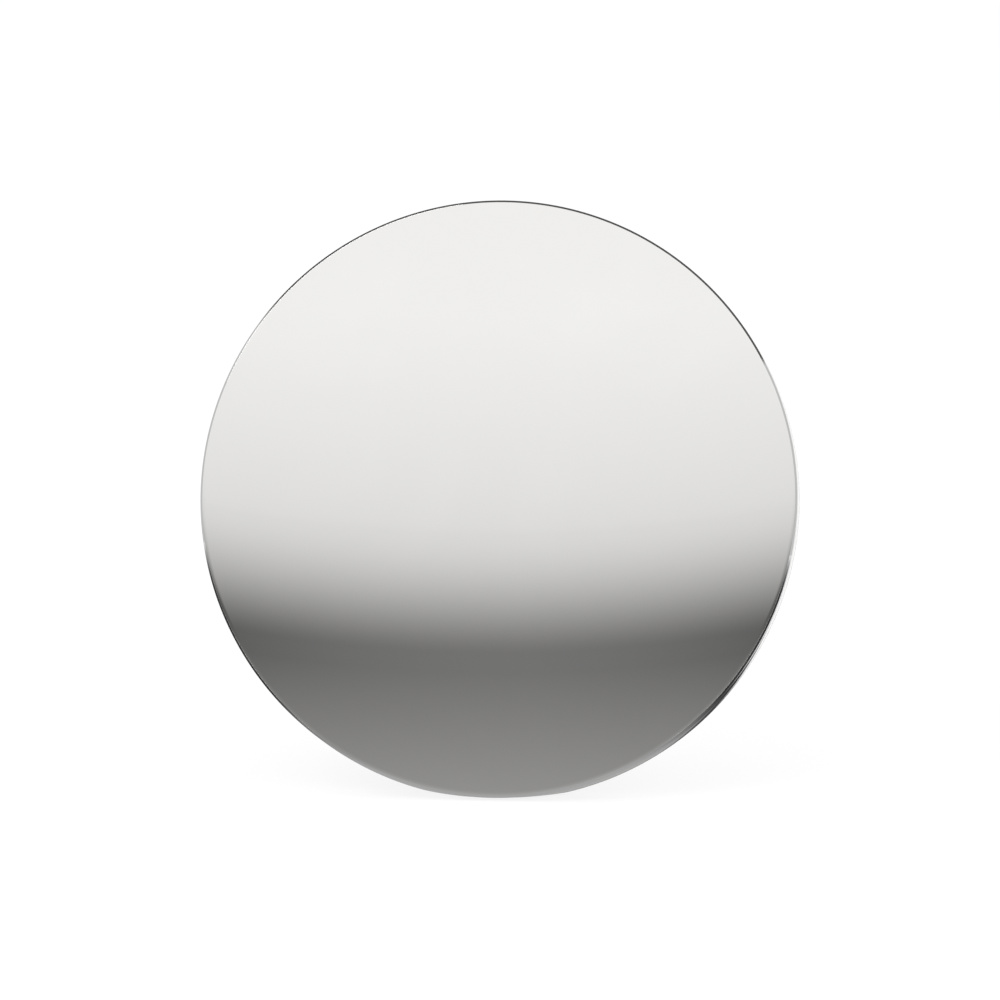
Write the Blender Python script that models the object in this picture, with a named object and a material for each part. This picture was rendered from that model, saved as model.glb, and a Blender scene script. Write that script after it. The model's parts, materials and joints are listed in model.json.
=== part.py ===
"""A round countertop mirror that leans back on a folding rear leg.

Metres, +Z up, and the glass faces -Y. The origin is on the counter, under the middle of the rubber strip
that the mirror stands on. The disc is modelled upright and square to its own frame, and the leg lying flat
along the back, and the frames then lean the one and open the other.
"""

from math import cos, pi, radians, sin, sqrt

import bmesh
import bpy

# Stance
LEAN_DEGREES = 15.0  # how far the disc leans back
OPENING_DEGREES = 28.0  # between the back of the disc and the opened leg
GLASS_LIFT = 0.0010  # counter to the lowest point of the glass

# Clearance between pieces that touch on the real mirror
GAP = 0.0003

# Mirror glass and its backing film
GLASS_RADIUS = 0.150
GLASS_THICKNESS = 0.005
GLASS_CHAMFER = 0.0010  # polished front edge
GLASS_ARRIS = 0.0006  # rear edge
FILM_THICKNESS = 0.0004

# Bonding tape
TAPE_THICKNESS = 0.0011
TAPE_WIDTH = 0.0050
TAPE_COUNT = 4
TAPE_SWEEP_DEGREES = 70.0

# Moulded body behind the glass
BODY_THICKNESS = 0.0170  # from its front lip to its rear face
RIM_WIDTH = 0.0080  # thick edge section
LIP_WIDTH = 0.0016  # wall that stands round the tape
REAR_WALL = 0.0026
REAR_STEP = 0.0012  # the middle of the back lies this much deeper than its edge ring
EDGE_RING_WIDTH = 0.0120
STEP_SLOPE = 0.0015
REAR_ROUND = 0.0012  # rounded rear corner
FLANGE_WIDTH = 0.0022  # rear flange that the steel band butts against
FLANGE_RECESS = 0.0006  # the flange stands this much inside the band
HUB_RADIUS = 0.0200  # ring that carries the middle of the glass
HUB_WIDTH = 0.0050
RIB_COUNT = 6  # places round the hub, the one towards the hinge left free
RIB_WIDTH = 0.0020
RIB_HEIGHT = 0.0080
RIB_SINK = 0.0005  # how far a rib runs into the walls that it joins

# Polished steel band round the side
BAND_THICKNESS = 0.0012

# Flat sole under the lower edge, and its rubber strip
SOLE_HEIGHT = 0.0012  # counter to the flat sole
PAD_THICKNESS = 0.0020
PAD_LENGTH = 0.0320
PAD_WIDTH = 0.0075
PAD_CORNER = 0.0025
PAD_SETBACK = 0.0058  # middle of the strip to the rear face

# Hinge bracket
HINGE_HEIGHT = 0.0600  # pin above the middle of the disc
AXIS_OFFSET = 0.0070  # pin to the bracket's outer face
BRACKET_SHEET = 0.0020
BRACKET_BEND = 0.0030  # radius at the middle of the sheet
BRACKET_EAR = 0.0065  # radius of the ears round the pin
EAR_SPACING = 0.0540  # between the middles of the two ears
RELIEF = 0.0015  # notch beside each bend
SCREW_MARGIN = 0.0055  # screw to the bracket's edge
BRACKET_CORNER = 0.0040
NUT_PLATE = 0.0030  # thickness of the plate inside the body

# Bracket screws
SCREW_RADIUS = 0.0020
SCREW_ACROSS = 0.0650  # spacing across the bracket
SCREW_UP = 0.0230  # spacing up the bracket
SCREW_HEAD = 0.0038
SCREW_HEAD_HEIGHT = 0.0021
SCREW_RIM = 0.0007  # straight edge under the dome of the head
SCREW_CROWN = 0.0024  # radius of the flat on top
SCREW_TIP = 0.0006  # chamfer at the point
SOCKET_RADIUS = 0.0014
SOCKET_DEPTH = 0.0012

# Hinge pin and what is on it
PIN_RADIUS = 0.0025
PIN_CHAMFER = 0.0005
PIN_END = 0.0014  # pin beyond its clip's groove
GROOVE_DEPTH = 0.0007
BUSH_WALL = 0.0009
BUSH_FLANGE = 0.0055
BUSH_FLANGE_THICKNESS = 0.0012
BUSH_TAIL = 0.0008  # bush past the inside of the leg's ear
SPRING_RADIUS = 0.0055
SPRING_THICKNESS = 0.0006
SPRING_DISH = 0.0005
CLIP_RADIUS = 0.0048
CLIP_THICKNESS = 0.0008
CLIP_MOUTH_DEGREES = 80.0

# Pressed leg
LEG_SHEET = 0.0015
LEG_BEND = 0.0024  # radius at the middle of the sheet
EAR_MARGIN = 0.0010  # flat left between the bush and the bend
EAR_TOP = 0.0085  # top edge of the leg above the pin
FLANGE_REACH = 0.0040  # turned-in edge past the pin's axis, towards the disc
EAR_BLEND = 0.0220  # length over which the ear narrows to the flange
FLANGE_TAPER = 0.0260  # length over which the flange dies away above the foot
FLANGE_SETBACK = 0.0020  # end of the flange to the top of the foot
FLANGE_LEAST = 0.0010
LEG_FOOT_HALF = 0.0340  # half width at the foot, middle of the sheet
FLARE_START = 0.0300  # below the pin
PANEL_RAISE = 0.0020  # pressed panel
PANEL_MARGIN = 0.0240  # below the pin, and above the end of the flange
PANEL_SLOPE = 0.0050
PANEL_INNER = 0.52  # share of the half width
PANEL_OUTER = 0.68

# Rubber foot on the leg
FOOT_HEIGHT = 0.0160
FOOT_THICKNESS = 0.0110
FOOT_FLOOR = 0.0045  # rubber under the leg's edge
FOOT_END = 0.0045  # rubber past the leg's sides
FOOT_ROUND = 0.0014

# Rubber buttons that the folded leg lies on
BUMPER_RADIUS = 0.0045
BUMPER_BELOW = 0.1300  # below the pin
BUMPER_ROUND = 0.0012

# How finely curves are drawn
ROUND_STEPS = 96
SMALL_STEPS = 20
ARC_STEPS = 4
DOME_STEPS = 2
FOOT_STEPS = 2
LEG_ROWS = 9
SLOPE_STEPS = 3
SOCKET_SIDES = 6
SHARP_DEGREES = 30.0  # edges turned by more than this are drawn sharp
MERGE = 1e-6

LEAN = radians(LEAN_DEGREES)
OPENING = radians(OPENING_DEGREES)
LEG_SLANT = OPENING - LEAN  # opened leg from the vertical

# Depths behind the front of the glass
BODY_FRONT = GLASS_THICKNESS + GAP
FILM_BACK = BODY_FRONT + FILM_THICKNESS
TAPE_FRONT = FILM_BACK + GAP
TAPE_BACK = TAPE_FRONT + TAPE_THICKNESS
LEDGE_DEPTH = TAPE_BACK + GAP
REAR_DEPTH = BODY_FRONT + BODY_THICKNESS
FLANGE_FRONT = REAR_DEPTH - FLANGE_WIDTH
PANEL_DEPTH = REAR_DEPTH - REAR_STEP
INNER_DEPTH = PANEL_DEPTH - REAR_WALL
BRACKET_DEPTH = PANEL_DEPTH + GAP + BRACKET_SHEET
AXIS_DEPTH = BRACKET_DEPTH + AXIS_OFFSET

# Radii of the body
BODY_RADIUS = GLASS_RADIUS - BAND_THICKNESS - GAP
FLANGE_RADIUS = GLASS_RADIUS - FLANGE_RECESS
LIP_RADIUS = BODY_RADIUS - LIP_WIDTH
RIM_RADIUS = BODY_RADIUS - RIM_WIDTH
STEP_RADIUS = GLASS_RADIUS - EDGE_RING_WIDTH
HUB_INNER = HUB_RADIUS - HUB_WIDTH / 2
HUB_OUTER = HUB_RADIUS + HUB_WIDTH / 2

# Place of the disc's middle, and height of the pin
HEAD_RISE = GLASS_LIFT + GLASS_RADIUS * cos(LEAN) + (GLASS_THICKNESS - GLASS_ARRIS) * sin(LEAN)
PAD_DEPTH = REAR_DEPTH - PAD_SETBACK
PAD_DROP = (SOLE_HEIGHT - HEAD_RISE + PAD_DEPTH * sin(LEAN)) / cos(LEAN)
HEAD_FORWARD = -(PAD_DEPTH * cos(LEAN) + PAD_DROP * sin(LEAN))
AXIS_RISE = HEAD_RISE + HINGE_HEIGHT * cos(LEAN) - AXIS_DEPTH * sin(LEAN)

# Along the pin, out from its middle
EAR_MIDDLE = EAR_SPACING / 2
EAR_INSIDE = EAR_MIDDLE - BRACKET_SHEET / 2
EAR_OUTSIDE = EAR_MIDDLE + BRACKET_SHEET / 2
BUSH_OUTSIDE = EAR_INSIDE - GAP
LEG_OUTSIDE = BUSH_OUTSIDE - BUSH_FLANGE_THICKNESS - GAP
LEG_TOP_HALF = LEG_OUTSIDE - LEG_SHEET / 2
BUSH_INSIDE = LEG_OUTSIDE - LEG_SHEET - BUSH_TAIL
SPRING_START = EAR_OUTSIDE + GAP
CLIP_START = SPRING_START + SPRING_DISH + SPRING_THICKNESS + GAP
GROOVE_START = CLIP_START - GAP
GROOVE_END = CLIP_START + CLIP_THICKNESS + GAP
PIN_HALF = GROOVE_END + PIN_END

# Round the pin
PIN_HOLE = PIN_RADIUS + GAP
BUSH_RADIUS = PIN_HOLE + BUSH_WALL
BUSH_HOLE = BUSH_RADIUS + GAP
GROOVE_RADIUS = PIN_RADIUS - GROOVE_DEPTH
LEG_EAR = AXIS_OFFSET - GAP
WEB_OFFSET = BUSH_HOLE + EAR_MARGIN + LEG_BEND

# Down the leg, from the pin
LEG_END = -(AXIS_RISE + WEB_OFFSET * sin(LEG_SLANT)) / cos(LEG_SLANT)
TOE_END = LEG_END + FOOT_FLOOR
FOOT_TOP = LEG_END + FOOT_HEIGHT
FLANGE_END = FOOT_TOP + FLANGE_SETBACK
PANEL_HEAD = -PANEL_MARGIN
PANEL_TAIL = FLANGE_END + PANEL_MARGIN
TOE_HALF = LEG_FOOT_HALF - LEG_BEND

# Bracket and the plate inside
BRACKET_HALF = SCREW_ACROSS / 2 + SCREW_MARGIN
BRACKET_TALL = SCREW_UP / 2 + SCREW_MARGIN


# Meshes


def turned(profile, steps=ROUND_STEPS, sweep=2 * pi, closed=False):
    """Spin (radius, along) points about the local Y axis. A closed profile joins end to start."""
    bm = bmesh.new()
    points = [bm.verts.new((radius, along, 0.0)) for radius, along in profile]
    edges = [bm.edges.new(pair) for pair in zip(points, points[1:])]
    if closed:
        edges.append(bm.edges.new((points[-1], points[0])))
    bmesh.ops.spin(
        bm, geom=points + edges, cent=(0.0, 0.0, 0.0), axis=(0.0, 1.0, 0.0), angle=sweep, steps=steps
    )
    bmesh.ops.remove_doubles(bm, verts=bm.verts, dist=MERGE)
    if closed:
        ends = [edge for edge in bm.edges if edge.is_boundary]
        bmesh.ops.holes_fill(bm, edges=ends, sides=len(profile))
    bmesh.ops.recalc_face_normals(bm, faces=bm.faces)
    return bm


def prism(outline, start, end, order):
    """Extrude an outline of (a, b) points. order names the axes of a, b and the extrusion."""
    bm = bmesh.new()
    places = ["XYZ".index(letter) for letter in order]
    points = []
    for first, second in outline:
        place = [0.0, 0.0, 0.0]
        place[places[0]] = first
        place[places[1]] = second
        place[places[2]] = start
        points.append(bm.verts.new(place))
    face = bm.faces.new(points)
    grown = bmesh.ops.extrude_face_region(bm, geom=[face])
    travel = [0.0, 0.0, 0.0]
    travel[places[2]] = end - start
    moved = [item for item in grown["geom"] if isinstance(item, bmesh.types.BMVert)]
    bmesh.ops.translate(bm, verts=moved, vec=travel)
    bmesh.ops.recalc_face_normals(bm, faces=bm.faces)
    return bm


def arc(middle, radius, start, end, steps):
    """Points on a circle, with the angles in degrees."""
    turns = [radians(start + (end - start) * step / steps) for step in range(steps + 1)]
    return [(middle[0] + radius * cos(turn), middle[1] + radius * sin(turn)) for turn in turns]


def ring(middle, radius, sides):
    """Points all the way round a circle."""
    return arc(middle, radius, 0, 360, sides)[:-1]


def rounded_box(half_a, half_b, corner):
    """Outline of a rectangle with round corners, about the origin."""
    outline = []
    for start, side_a, side_b in ((0, 1, 1), (90, -1, 1), (180, -1, -1), (270, 1, -1)):
        middle = (side_a * (half_a - corner), side_b * (half_b - corner))
        outline += arc(middle, corner, start, start + 90, ARC_STEPS)
    return outline


def spread(start, end, steps):
    """Evenly spaced values from start to end."""
    return [start + (end - start) * step / steps for step in range(steps + 1)]


def eased(share):
    """0 to 1 with a soft start and a soft end."""
    held = min(max(share, 0.0), 1.0)
    return held * held * (3.0 - 2.0 * held)


# Objects


def clear_scene():
    for item in list(bpy.data.objects):
        bpy.data.objects.remove(item, do_unlink=True)


def frame(name, place, turn, parent=None):
    """An empty that carries pieces."""
    empty = bpy.data.objects.new(name, None)
    bpy.context.collection.objects.link(empty)
    empty.parent = parent
    empty.location = place
    empty.rotation_euler = turn
    return empty


def place_mesh(name, mesh, parent, place=(0.0, 0.0, 0.0), turn=(0.0, 0.0, 0.0)):
    item = bpy.data.objects.new(name, mesh)
    bpy.context.collection.objects.link(item)
    item.parent = parent
    item.location = place
    item.rotation_euler = turn
    return item


def mesh_from(name, bm):
    mesh = bpy.data.meshes.new(name)
    bm.to_mesh(mesh)
    bm.free()
    mesh.shade_smooth()
    mesh.set_sharp_from_angle(angle=radians(SHARP_DEGREES))
    return mesh


def piece(name, bm, parent, finish, place=(0.0, 0.0, 0.0), turn=(0.0, 0.0, 0.0)):
    """A sub-part with its own material."""
    item = place_mesh(name, mesh_from(name, bm), parent, place, turn)
    item.data.materials.append(material(name, finish))
    return item


def cutter(name, bm, parent=None, place=(0.0, 0.0, 0.0), turn=(0.0, 0.0, 0.0)):
    """A shape that only cuts or joins others."""
    item = place_mesh(name, mesh_from(name, bm), parent, place, turn)
    item.hide_render = True
    item.display_type = "WIRE"
    return item


def combine(item, other, operation):
    modifier = item.modifiers.new(other.name, "BOOLEAN")
    modifier.operation = operation
    modifier.solver = "EXACT"
    modifier.object = other


def thicken(item, thickness):
    """Give a sheet its thickness, half to each side."""
    modifier = item.modifiers.new("sheet", "SOLIDIFY")
    modifier.thickness = thickness
    modifier.offset = 0.0
    modifier.use_even_offset = True


SILVER = ((0.88, 0.88, 0.87), 0.02, 1.0)
POLISHED_STEEL = ((0.80, 0.80, 0.79), 0.08, 1.0)
SATIN_STEEL = ((0.62, 0.62, 0.61), 0.32, 1.0)
SPRING_STEEL = ((0.40, 0.40, 0.41), 0.30, 1.0)
BLACK_MOULDING = ((0.030, 0.030, 0.032), 0.55, 0.0)
BACKING = ((0.20, 0.23, 0.26), 0.60, 0.0)
FOAM = ((0.75, 0.75, 0.73), 0.90, 0.0)
NYLON = ((0.82, 0.81, 0.77), 0.45, 0.0)
RUBBER = ((0.020, 0.020, 0.020), 0.80, 0.0)


def material(name, finish):
    colour, roughness, metallic = finish
    made = bpy.data.materials.new(name)
    made.use_nodes = True
    shader = made.node_tree.nodes["Principled BSDF"]
    shader.inputs["Base Color"].default_value = (*colour, 1.0)
    shader.inputs["Roughness"].default_value = roughness
    shader.inputs["Metallic"].default_value = metallic
    return made


# The disc


def mirror_glass(head):
    profile = [
        (0.0, 0.0),
        (GLASS_RADIUS - GLASS_CHAMFER, 0.0),
        (GLASS_RADIUS, GLASS_CHAMFER),
        (GLASS_RADIUS, GLASS_THICKNESS - GLASS_ARRIS),
        (GLASS_RADIUS - GLASS_ARRIS, GLASS_THICKNESS),
        (0.0, GLASS_THICKNESS),
    ]
    piece("mirror_glass", turned(profile), head, SILVER)


def safety_backing(head):
    radius = LIP_RADIUS - GAP
    profile = [(0.0, BODY_FRONT), (radius, BODY_FRONT), (radius, FILM_BACK), (0.0, FILM_BACK)]
    piece("safety_backing", turned(profile), head, BACKING)


def tape_profile(inner, outer):
    return [(inner, TAPE_FRONT), (outer, TAPE_FRONT), (outer, TAPE_BACK), (inner, TAPE_BACK)]


def bonding_tape(head):
    middle = (RIM_RADIUS + LIP_RADIUS) / 2
    profile = tape_profile(middle - TAPE_WIDTH / 2, middle + TAPE_WIDTH / 2)
    sweep = radians(TAPE_SWEEP_DEGREES)
    steps = ROUND_STEPS // TAPE_COUNT
    for number in range(TAPE_COUNT):
        start = 2 * pi * (number + 0.5) / TAPE_COUNT - sweep / 2
        strip = turned(profile, steps, sweep, closed=True)
        piece(f"glass_tape_{number + 1}", strip, head, FOAM, turn=(0.0, start, 0.0))
    ring = turned(tape_profile(HUB_INNER, HUB_OUTER), SMALL_STEPS * 2, closed=True)
    piece("hub_tape", ring, head, FOAM)


def rear_corner():
    """The rounded rear corner, from the side round to the back."""
    middle = (FLANGE_RADIUS - REAR_ROUND, REAR_DEPTH - REAR_ROUND)
    return arc(middle, REAR_ROUND, 0, 90, ARC_STEPS)


def housing_profile():
    """Outside from the front lip to the middle of the back, then inside from the lip to the middle."""
    inside = [
        (0.0, INNER_DEPTH),
        (HUB_INNER, INNER_DEPTH),
        (HUB_INNER, LEDGE_DEPTH),
        (HUB_OUTER, LEDGE_DEPTH),
        (HUB_OUTER, INNER_DEPTH),
        (RIM_RADIUS, INNER_DEPTH),
        (RIM_RADIUS, LEDGE_DEPTH),
        (LIP_RADIUS, LEDGE_DEPTH),
        (LIP_RADIUS, BODY_FRONT),
    ]
    side = [(BODY_RADIUS, BODY_FRONT), (BODY_RADIUS, FLANGE_FRONT), (FLANGE_RADIUS, FLANGE_FRONT)]
    back = [(STEP_RADIUS, REAR_DEPTH), (STEP_RADIUS - STEP_SLOPE, PANEL_DEPTH), (0.0, PANEL_DEPTH)]
    return inside + side + rear_corner() + back


def housing_ribs(head):
    """Stiffening ribs from the hub to the rim, none towards the hinge."""
    bm = bmesh.new()
    outline = [
        (HUB_OUTER - RIB_SINK, -RIB_WIDTH / 2),
        (RIM_RADIUS + RIB_SINK, -RIB_WIDTH / 2),
        (RIM_RADIUS + RIB_SINK, RIB_WIDTH / 2),
        (HUB_OUTER - RIB_SINK, RIB_WIDTH / 2),
    ]
    for number in range(1, RIB_COUNT):
        direction = pi / 2 + 2 * pi * number / RIB_COUNT
        points = []
        for along, across in outline:
            x = along * cos(direction) - across * sin(direction)
            z = along * sin(direction) + across * cos(direction)
            points.append(bm.verts.new((x, INNER_DEPTH + RIB_SINK, z)))
        grown = bmesh.ops.extrude_face_region(bm, geom=[bm.faces.new(points)])
        moved = [item for item in grown["geom"] if isinstance(item, bmesh.types.BMVert)]
        bmesh.ops.translate(bm, verts=moved, vec=(0.0, -RIB_HEIGHT - RIB_SINK, 0.0))
    bmesh.ops.recalc_face_normals(bm, faces=bm.faces)
    return cutter("housing_ribs", bm, head)


def sole_cut():
    """Everything under the flat sole."""
    outline = rounded_box(GLASS_RADIUS, GLASS_RADIUS, RIM_WIDTH)
    return cutter("sole_cut", prism(outline, SOLE_HEIGHT - GLASS_RADIUS, SOLE_HEIGHT, "XYZ"))


def pad_outline(margin):
    return rounded_box(PAD_LENGTH / 2 + margin, PAD_WIDTH / 2 + margin, PAD_CORNER + margin)


def rear_housing(head, sole, screw_holes):
    housing = piece("rear_housing", turned(housing_profile()), head, BLACK_MOULDING)
    combine(housing, housing_ribs(head), "UNION")
    combine(housing, sole, "DIFFERENCE")
    recess = prism(pad_outline(GAP), SOLE_HEIGHT - PAD_THICKNESS, PAD_THICKNESS + GAP, "XYZ")
    combine(housing, cutter("pad_recess", recess), "DIFFERENCE")
    combine(housing, screw_holes, "DIFFERENCE")


def sole_pad():
    piece("sole_pad", prism(pad_outline(0.0), 0.0, PAD_THICKNESS, "XYZ"), None, RUBBER)


def rim_band(head, sole):
    inner = GLASS_RADIUS - BAND_THICKNESS
    back = FLANGE_FRONT - GAP
    profile = [(inner, BODY_FRONT), (GLASS_RADIUS, BODY_FRONT), (GLASS_RADIUS, back), (inner, back)]
    band = piece("rim_band", turned(profile, closed=True), head, POLISHED_STEEL)
    combine(band, sole, "DIFFERENCE")


# The hinge


def screw_places():
    return [
        (side * SCREW_ACROSS / 2, 0.0, level * SCREW_UP / 2) for level in (1, -1) for side in (-1, 1)
    ]


def screw_hole_cut(hinge):
    """One cylinder for each screw, through the bracket, the body's wall and the plate inside."""
    bm = bmesh.new()
    reach = AXIS_DEPTH - LEDGE_DEPTH
    for x, y, z in screw_places():
        outline = ring((x, z), SCREW_RADIUS + GAP, SMALL_STEPS)
        points = [bm.verts.new((a, -reach, b)) for a, b in outline]
        grown = bmesh.ops.extrude_face_region(bm, geom=[bm.faces.new(points)])
        moved = [item for item in grown["geom"] if isinstance(item, bmesh.types.BMVert)]
        bmesh.ops.translate(bm, verts=moved, vec=(0.0, reach, 0.0))
    bmesh.ops.recalc_face_normals(bm, faces=bm.faces)
    return cutter("screw_holes", bm, hinge)


def hinge_plate(hinge, screw_holes):
    outline = rounded_box(BRACKET_HALF, BRACKET_TALL, BRACKET_CORNER)
    back = INNER_DEPTH - GAP - AXIS_DEPTH
    plate = piece("hinge_plate", prism(outline, back - NUT_PLATE, back, "XZY"), hinge, SATIN_STEEL)
    combine(plate, screw_holes, "DIFFERENCE")


def bracket_half_outline():
    """Right-hand edge of the bracket's flat, top to bottom, as (x, z). Its fold lies at the middle."""
    fold = EAR_MIDDLE - BRACKET_BEND
    notch = BRACKET_EAR + RELIEF
    corner = BRACKET_CORNER
    upper = arc((BRACKET_HALF - corner, BRACKET_TALL - corner), corner, 90, 0, ARC_STEPS)
    upper += [
        (BRACKET_HALF, notch),
        (fold - RELIEF, notch),
        (fold - RELIEF, BRACKET_EAR),
        (fold, BRACKET_EAR),
    ]
    lower = [(x, -z) for x, z in reversed(upper)]
    return upper + lower


def bracket_ear(bm, folded, side):
    """Bend the sheet up from two points of the flat, and close it with a round ear about the pin."""
    base = -AXIS_OFFSET - BRACKET_SHEET / 2
    for step in range(1, ARC_STEPS + 1):
        turn = pi / 2 * step / ARC_STEPS
        x = side * (EAR_MIDDLE - BRACKET_BEND + BRACKET_BEND * sin(turn))
        y = base + BRACKET_BEND * (1 - cos(turn))
        risen = [bm.verts.new((x, y, point.co.z)) for point in folded]
        bm.faces.new((folded[0], folded[1], risen[1], risen[0]))
        folded = risen
    outline = arc((0.0, 0.0), BRACKET_EAR, -90, 90, SMALL_STEPS // 2)
    round_top = [bm.verts.new((side * EAR_MIDDLE, y, z)) for y, z in outline]
    bm.faces.new([folded[1]] + round_top + [folded[0]])


def hinge_bracket(hinge, screw_holes):
    bm = bmesh.new()
    base = -AXIS_OFFSET - BRACKET_SHEET / 2
    right = [bm.verts.new((x, base, z)) for x, z in bracket_half_outline()]
    left = [bm.verts.new((-x, base, z)) for x, z in bracket_half_outline()]
    bm.faces.new(right + left[::-1])
    middle = len(right) // 2
    bracket_ear(bm, right[middle - 1 : middle + 1], 1)
    bracket_ear(bm, left[middle - 1 : middle + 1], -1)
    bmesh.ops.recalc_face_normals(bm, faces=bm.faces)
    bracket = piece("hinge_bracket", bm, hinge, SATIN_STEEL)
    thicken(bracket, BRACKET_SHEET)
    combine(bracket, screw_holes, "DIFFERENCE")
    combine(bracket, pin_cut("pin_hole", PIN_HOLE, hinge), "DIFFERENCE")


def pin_cut(name, radius, parent):
    """A cylinder along the pin, through both ears."""
    outline = ring((0.0, 0.0), radius, SMALL_STEPS)
    return cutter(name, prism(outline, -PIN_HALF, PIN_HALF, "YZX"), parent)


def screw_dome():
    """A quarter of an ellipse from the edge of the head up to the flat on top."""
    turns = [radians(turn) for turn in spread(0.0, 90.0, DOME_STEPS)]
    wide = SCREW_HEAD - SCREW_CROWN
    tall = SCREW_HEAD_HEIGHT - SCREW_RIM
    return [(SCREW_CROWN + wide * cos(turn), SCREW_RIM + tall * sin(turn)) for turn in turns]


def screw_mesh():
    """A button-head screw with a hexagon socket. Its head sits on Y = 0 and its shank runs down -Y."""
    shank = AXIS_DEPTH - AXIS_OFFSET - INNER_DEPTH + GAP + NUT_PLATE + GAP
    bm = turned(
        [
            (0.0, -shank),
            (SCREW_RADIUS - SCREW_TIP, -shank),
            (SCREW_RADIUS, -shank + SCREW_TIP),
            (SCREW_RADIUS, 0.0),
            (SCREW_HEAD, 0.0),
            *screw_dome(),
        ],
        SMALL_STEPS - 2,
    )
    crown = [edge for edge in bm.edges if edge.is_boundary]
    sides = ring((0.0, 0.0), SOCKET_RADIUS, SOCKET_SIDES)
    socket = [bm.verts.new((x, SCREW_HEAD_HEIGHT, z)) for x, z in sides]
    mouth = [bm.edges.new(pair) for pair in zip(socket, socket[1:] + socket[:1])]
    bmesh.ops.bridge_loops(bm, edges=crown + mouth)
    sunk = bmesh.ops.extrude_edge_only(bm, edges=mouth)
    floor = [item for item in sunk["geom"] if isinstance(item, bmesh.types.BMVert)]
    bmesh.ops.translate(bm, verts=floor, vec=(0.0, -SOCKET_DEPTH, 0.0))
    bmesh.ops.holes_fill(bm, edges=[edge for edge in bm.edges if edge.is_boundary], sides=len(sides))
    bmesh.ops.recalc_face_normals(bm, faces=bm.faces)
    return mesh_from("bracket_screw", bm)


def bracket_screws(hinge):
    shared = screw_mesh()
    shared.materials.append(material("bracket_screw", SATIN_STEEL))
    for number, (x, y, z) in enumerate(screw_places()):
        place_mesh(f"bracket_screw_{number + 1}", shared, hinge, (x, GAP - AXIS_OFFSET, z))


def along_pin(side):
    """Turns a shape made along +Y to run out along the pin, to the right or to the left."""
    return (0.0, 0.0, -side * pi / 2)


def hinge_pin(hinge):
    half = [
        (PIN_RADIUS, GROOVE_START),
        (GROOVE_RADIUS, GROOVE_START),
        (GROOVE_RADIUS, GROOVE_END),
        (PIN_RADIUS, GROOVE_END),
        (PIN_RADIUS, PIN_HALF - PIN_CHAMFER),
        (PIN_RADIUS - PIN_CHAMFER, PIN_HALF),
        (0.0, PIN_HALF),
    ]
    other = [(radius, -along) for radius, along in reversed(half)]
    piece("hinge_pin", turned(other + half, SMALL_STEPS), hinge, SATIN_STEEL, turn=along_pin(1))


def leg_bushes(leg):
    profile = [
        (PIN_HOLE, BUSH_INSIDE),
        (BUSH_RADIUS, BUSH_INSIDE),
        (BUSH_RADIUS, LEG_OUTSIDE + GAP),
        (BUSH_FLANGE, LEG_OUTSIDE + GAP),
        (BUSH_FLANGE, BUSH_OUTSIDE),
        (PIN_HOLE, BUSH_OUTSIDE),
    ]
    for name, side in (("left", -1), ("right", 1)):
        bush = turned(profile, SMALL_STEPS, closed=True)
        piece(f"leg_bush_{name}", bush, leg, NYLON, turn=along_pin(side))


def disc_springs(hinge):
    profile = [
        (PIN_HOLE, SPRING_START + SPRING_DISH),
        (SPRING_RADIUS, SPRING_START),
        (SPRING_RADIUS, SPRING_START + SPRING_THICKNESS),
        (PIN_HOLE, SPRING_START + SPRING_DISH + SPRING_THICKNESS),
    ]
    for name, side in (("left", -1), ("right", 1)):
        spring = turned(profile, SMALL_STEPS, closed=True)
        piece(f"disc_spring_{name}", spring, hinge, SPRING_STEEL, turn=along_pin(side))


def pin_clips(hinge):
    mouth = CLIP_MOUTH_DEGREES / 2
    outer = arc((0.0, 0.0), CLIP_RADIUS, mouth - 90, 270 - mouth, SMALL_STEPS)
    inner = arc((0.0, 0.0), GROOVE_RADIUS + GAP, 270 - mouth, mouth - 90, SMALL_STEPS)
    for name, start in (("left", -CLIP_START - CLIP_THICKNESS), ("right", CLIP_START)):
        clip = prism(outer + inner, start, start + CLIP_THICKNESS, "YZX")
        piece(f"pin_clip_{name}", clip, hinge, SPRING_STEEL)


# The leg


def leg_half_width(height):
    """Half the leg's width at the middle of its sheet."""
    share = (-FLARE_START - height) / (-FLARE_START - FLANGE_END)
    return LEG_TOP_HALF + (LEG_FOOT_HALF - LEG_TOP_HALF) * eased(share)


def flange_edge(height):
    """Free edge of the flange: a flat that meets the bracket when open, a round ear, then a strip."""
    flat_start = LEG_EAR * sin(OPENING)
    if height > flat_start:
        return -(LEG_EAR - height * sin(OPENING)) / cos(OPENING)
    if height > 0:
        return -sqrt(LEG_EAR**2 - height**2)
    narrowed = -LEG_EAR + (LEG_EAR - FLANGE_REACH) * eased(-height / EAR_BLEND)
    least = WEB_OFFSET - LEG_BEND - FLANGE_LEAST
    return narrowed + (least - narrowed) * eased(1 - (height - FLANGE_END) / FLANGE_TAPER)


def web_columns(half, raise_by):
    """Right half of the leg's web as (x, y), from the middle out."""
    flat = half - LEG_BEND
    columns = [(0.0, WEB_OFFSET + raise_by)]
    for share in spread(0.0, 1.0, SLOPE_STEPS):
        across = PANEL_INNER + (PANEL_OUTER - PANEL_INNER) * share
        columns.append((flat * across, WEB_OFFSET + raise_by * eased(1.0 - share)))
    return columns + [(flat, WEB_OFFSET)]


def leg_section(height, raise_by):
    """Right half of the leg's section at a height, from the middle of the web to the flange's edge."""
    half = leg_half_width(height)
    bend = arc((half - LEG_BEND, WEB_OFFSET - LEG_BEND), LEG_BEND, 90, 0, ARC_STEPS)
    return web_columns(half, raise_by) + bend[1:] + [(half, flange_edge(height))]


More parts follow.
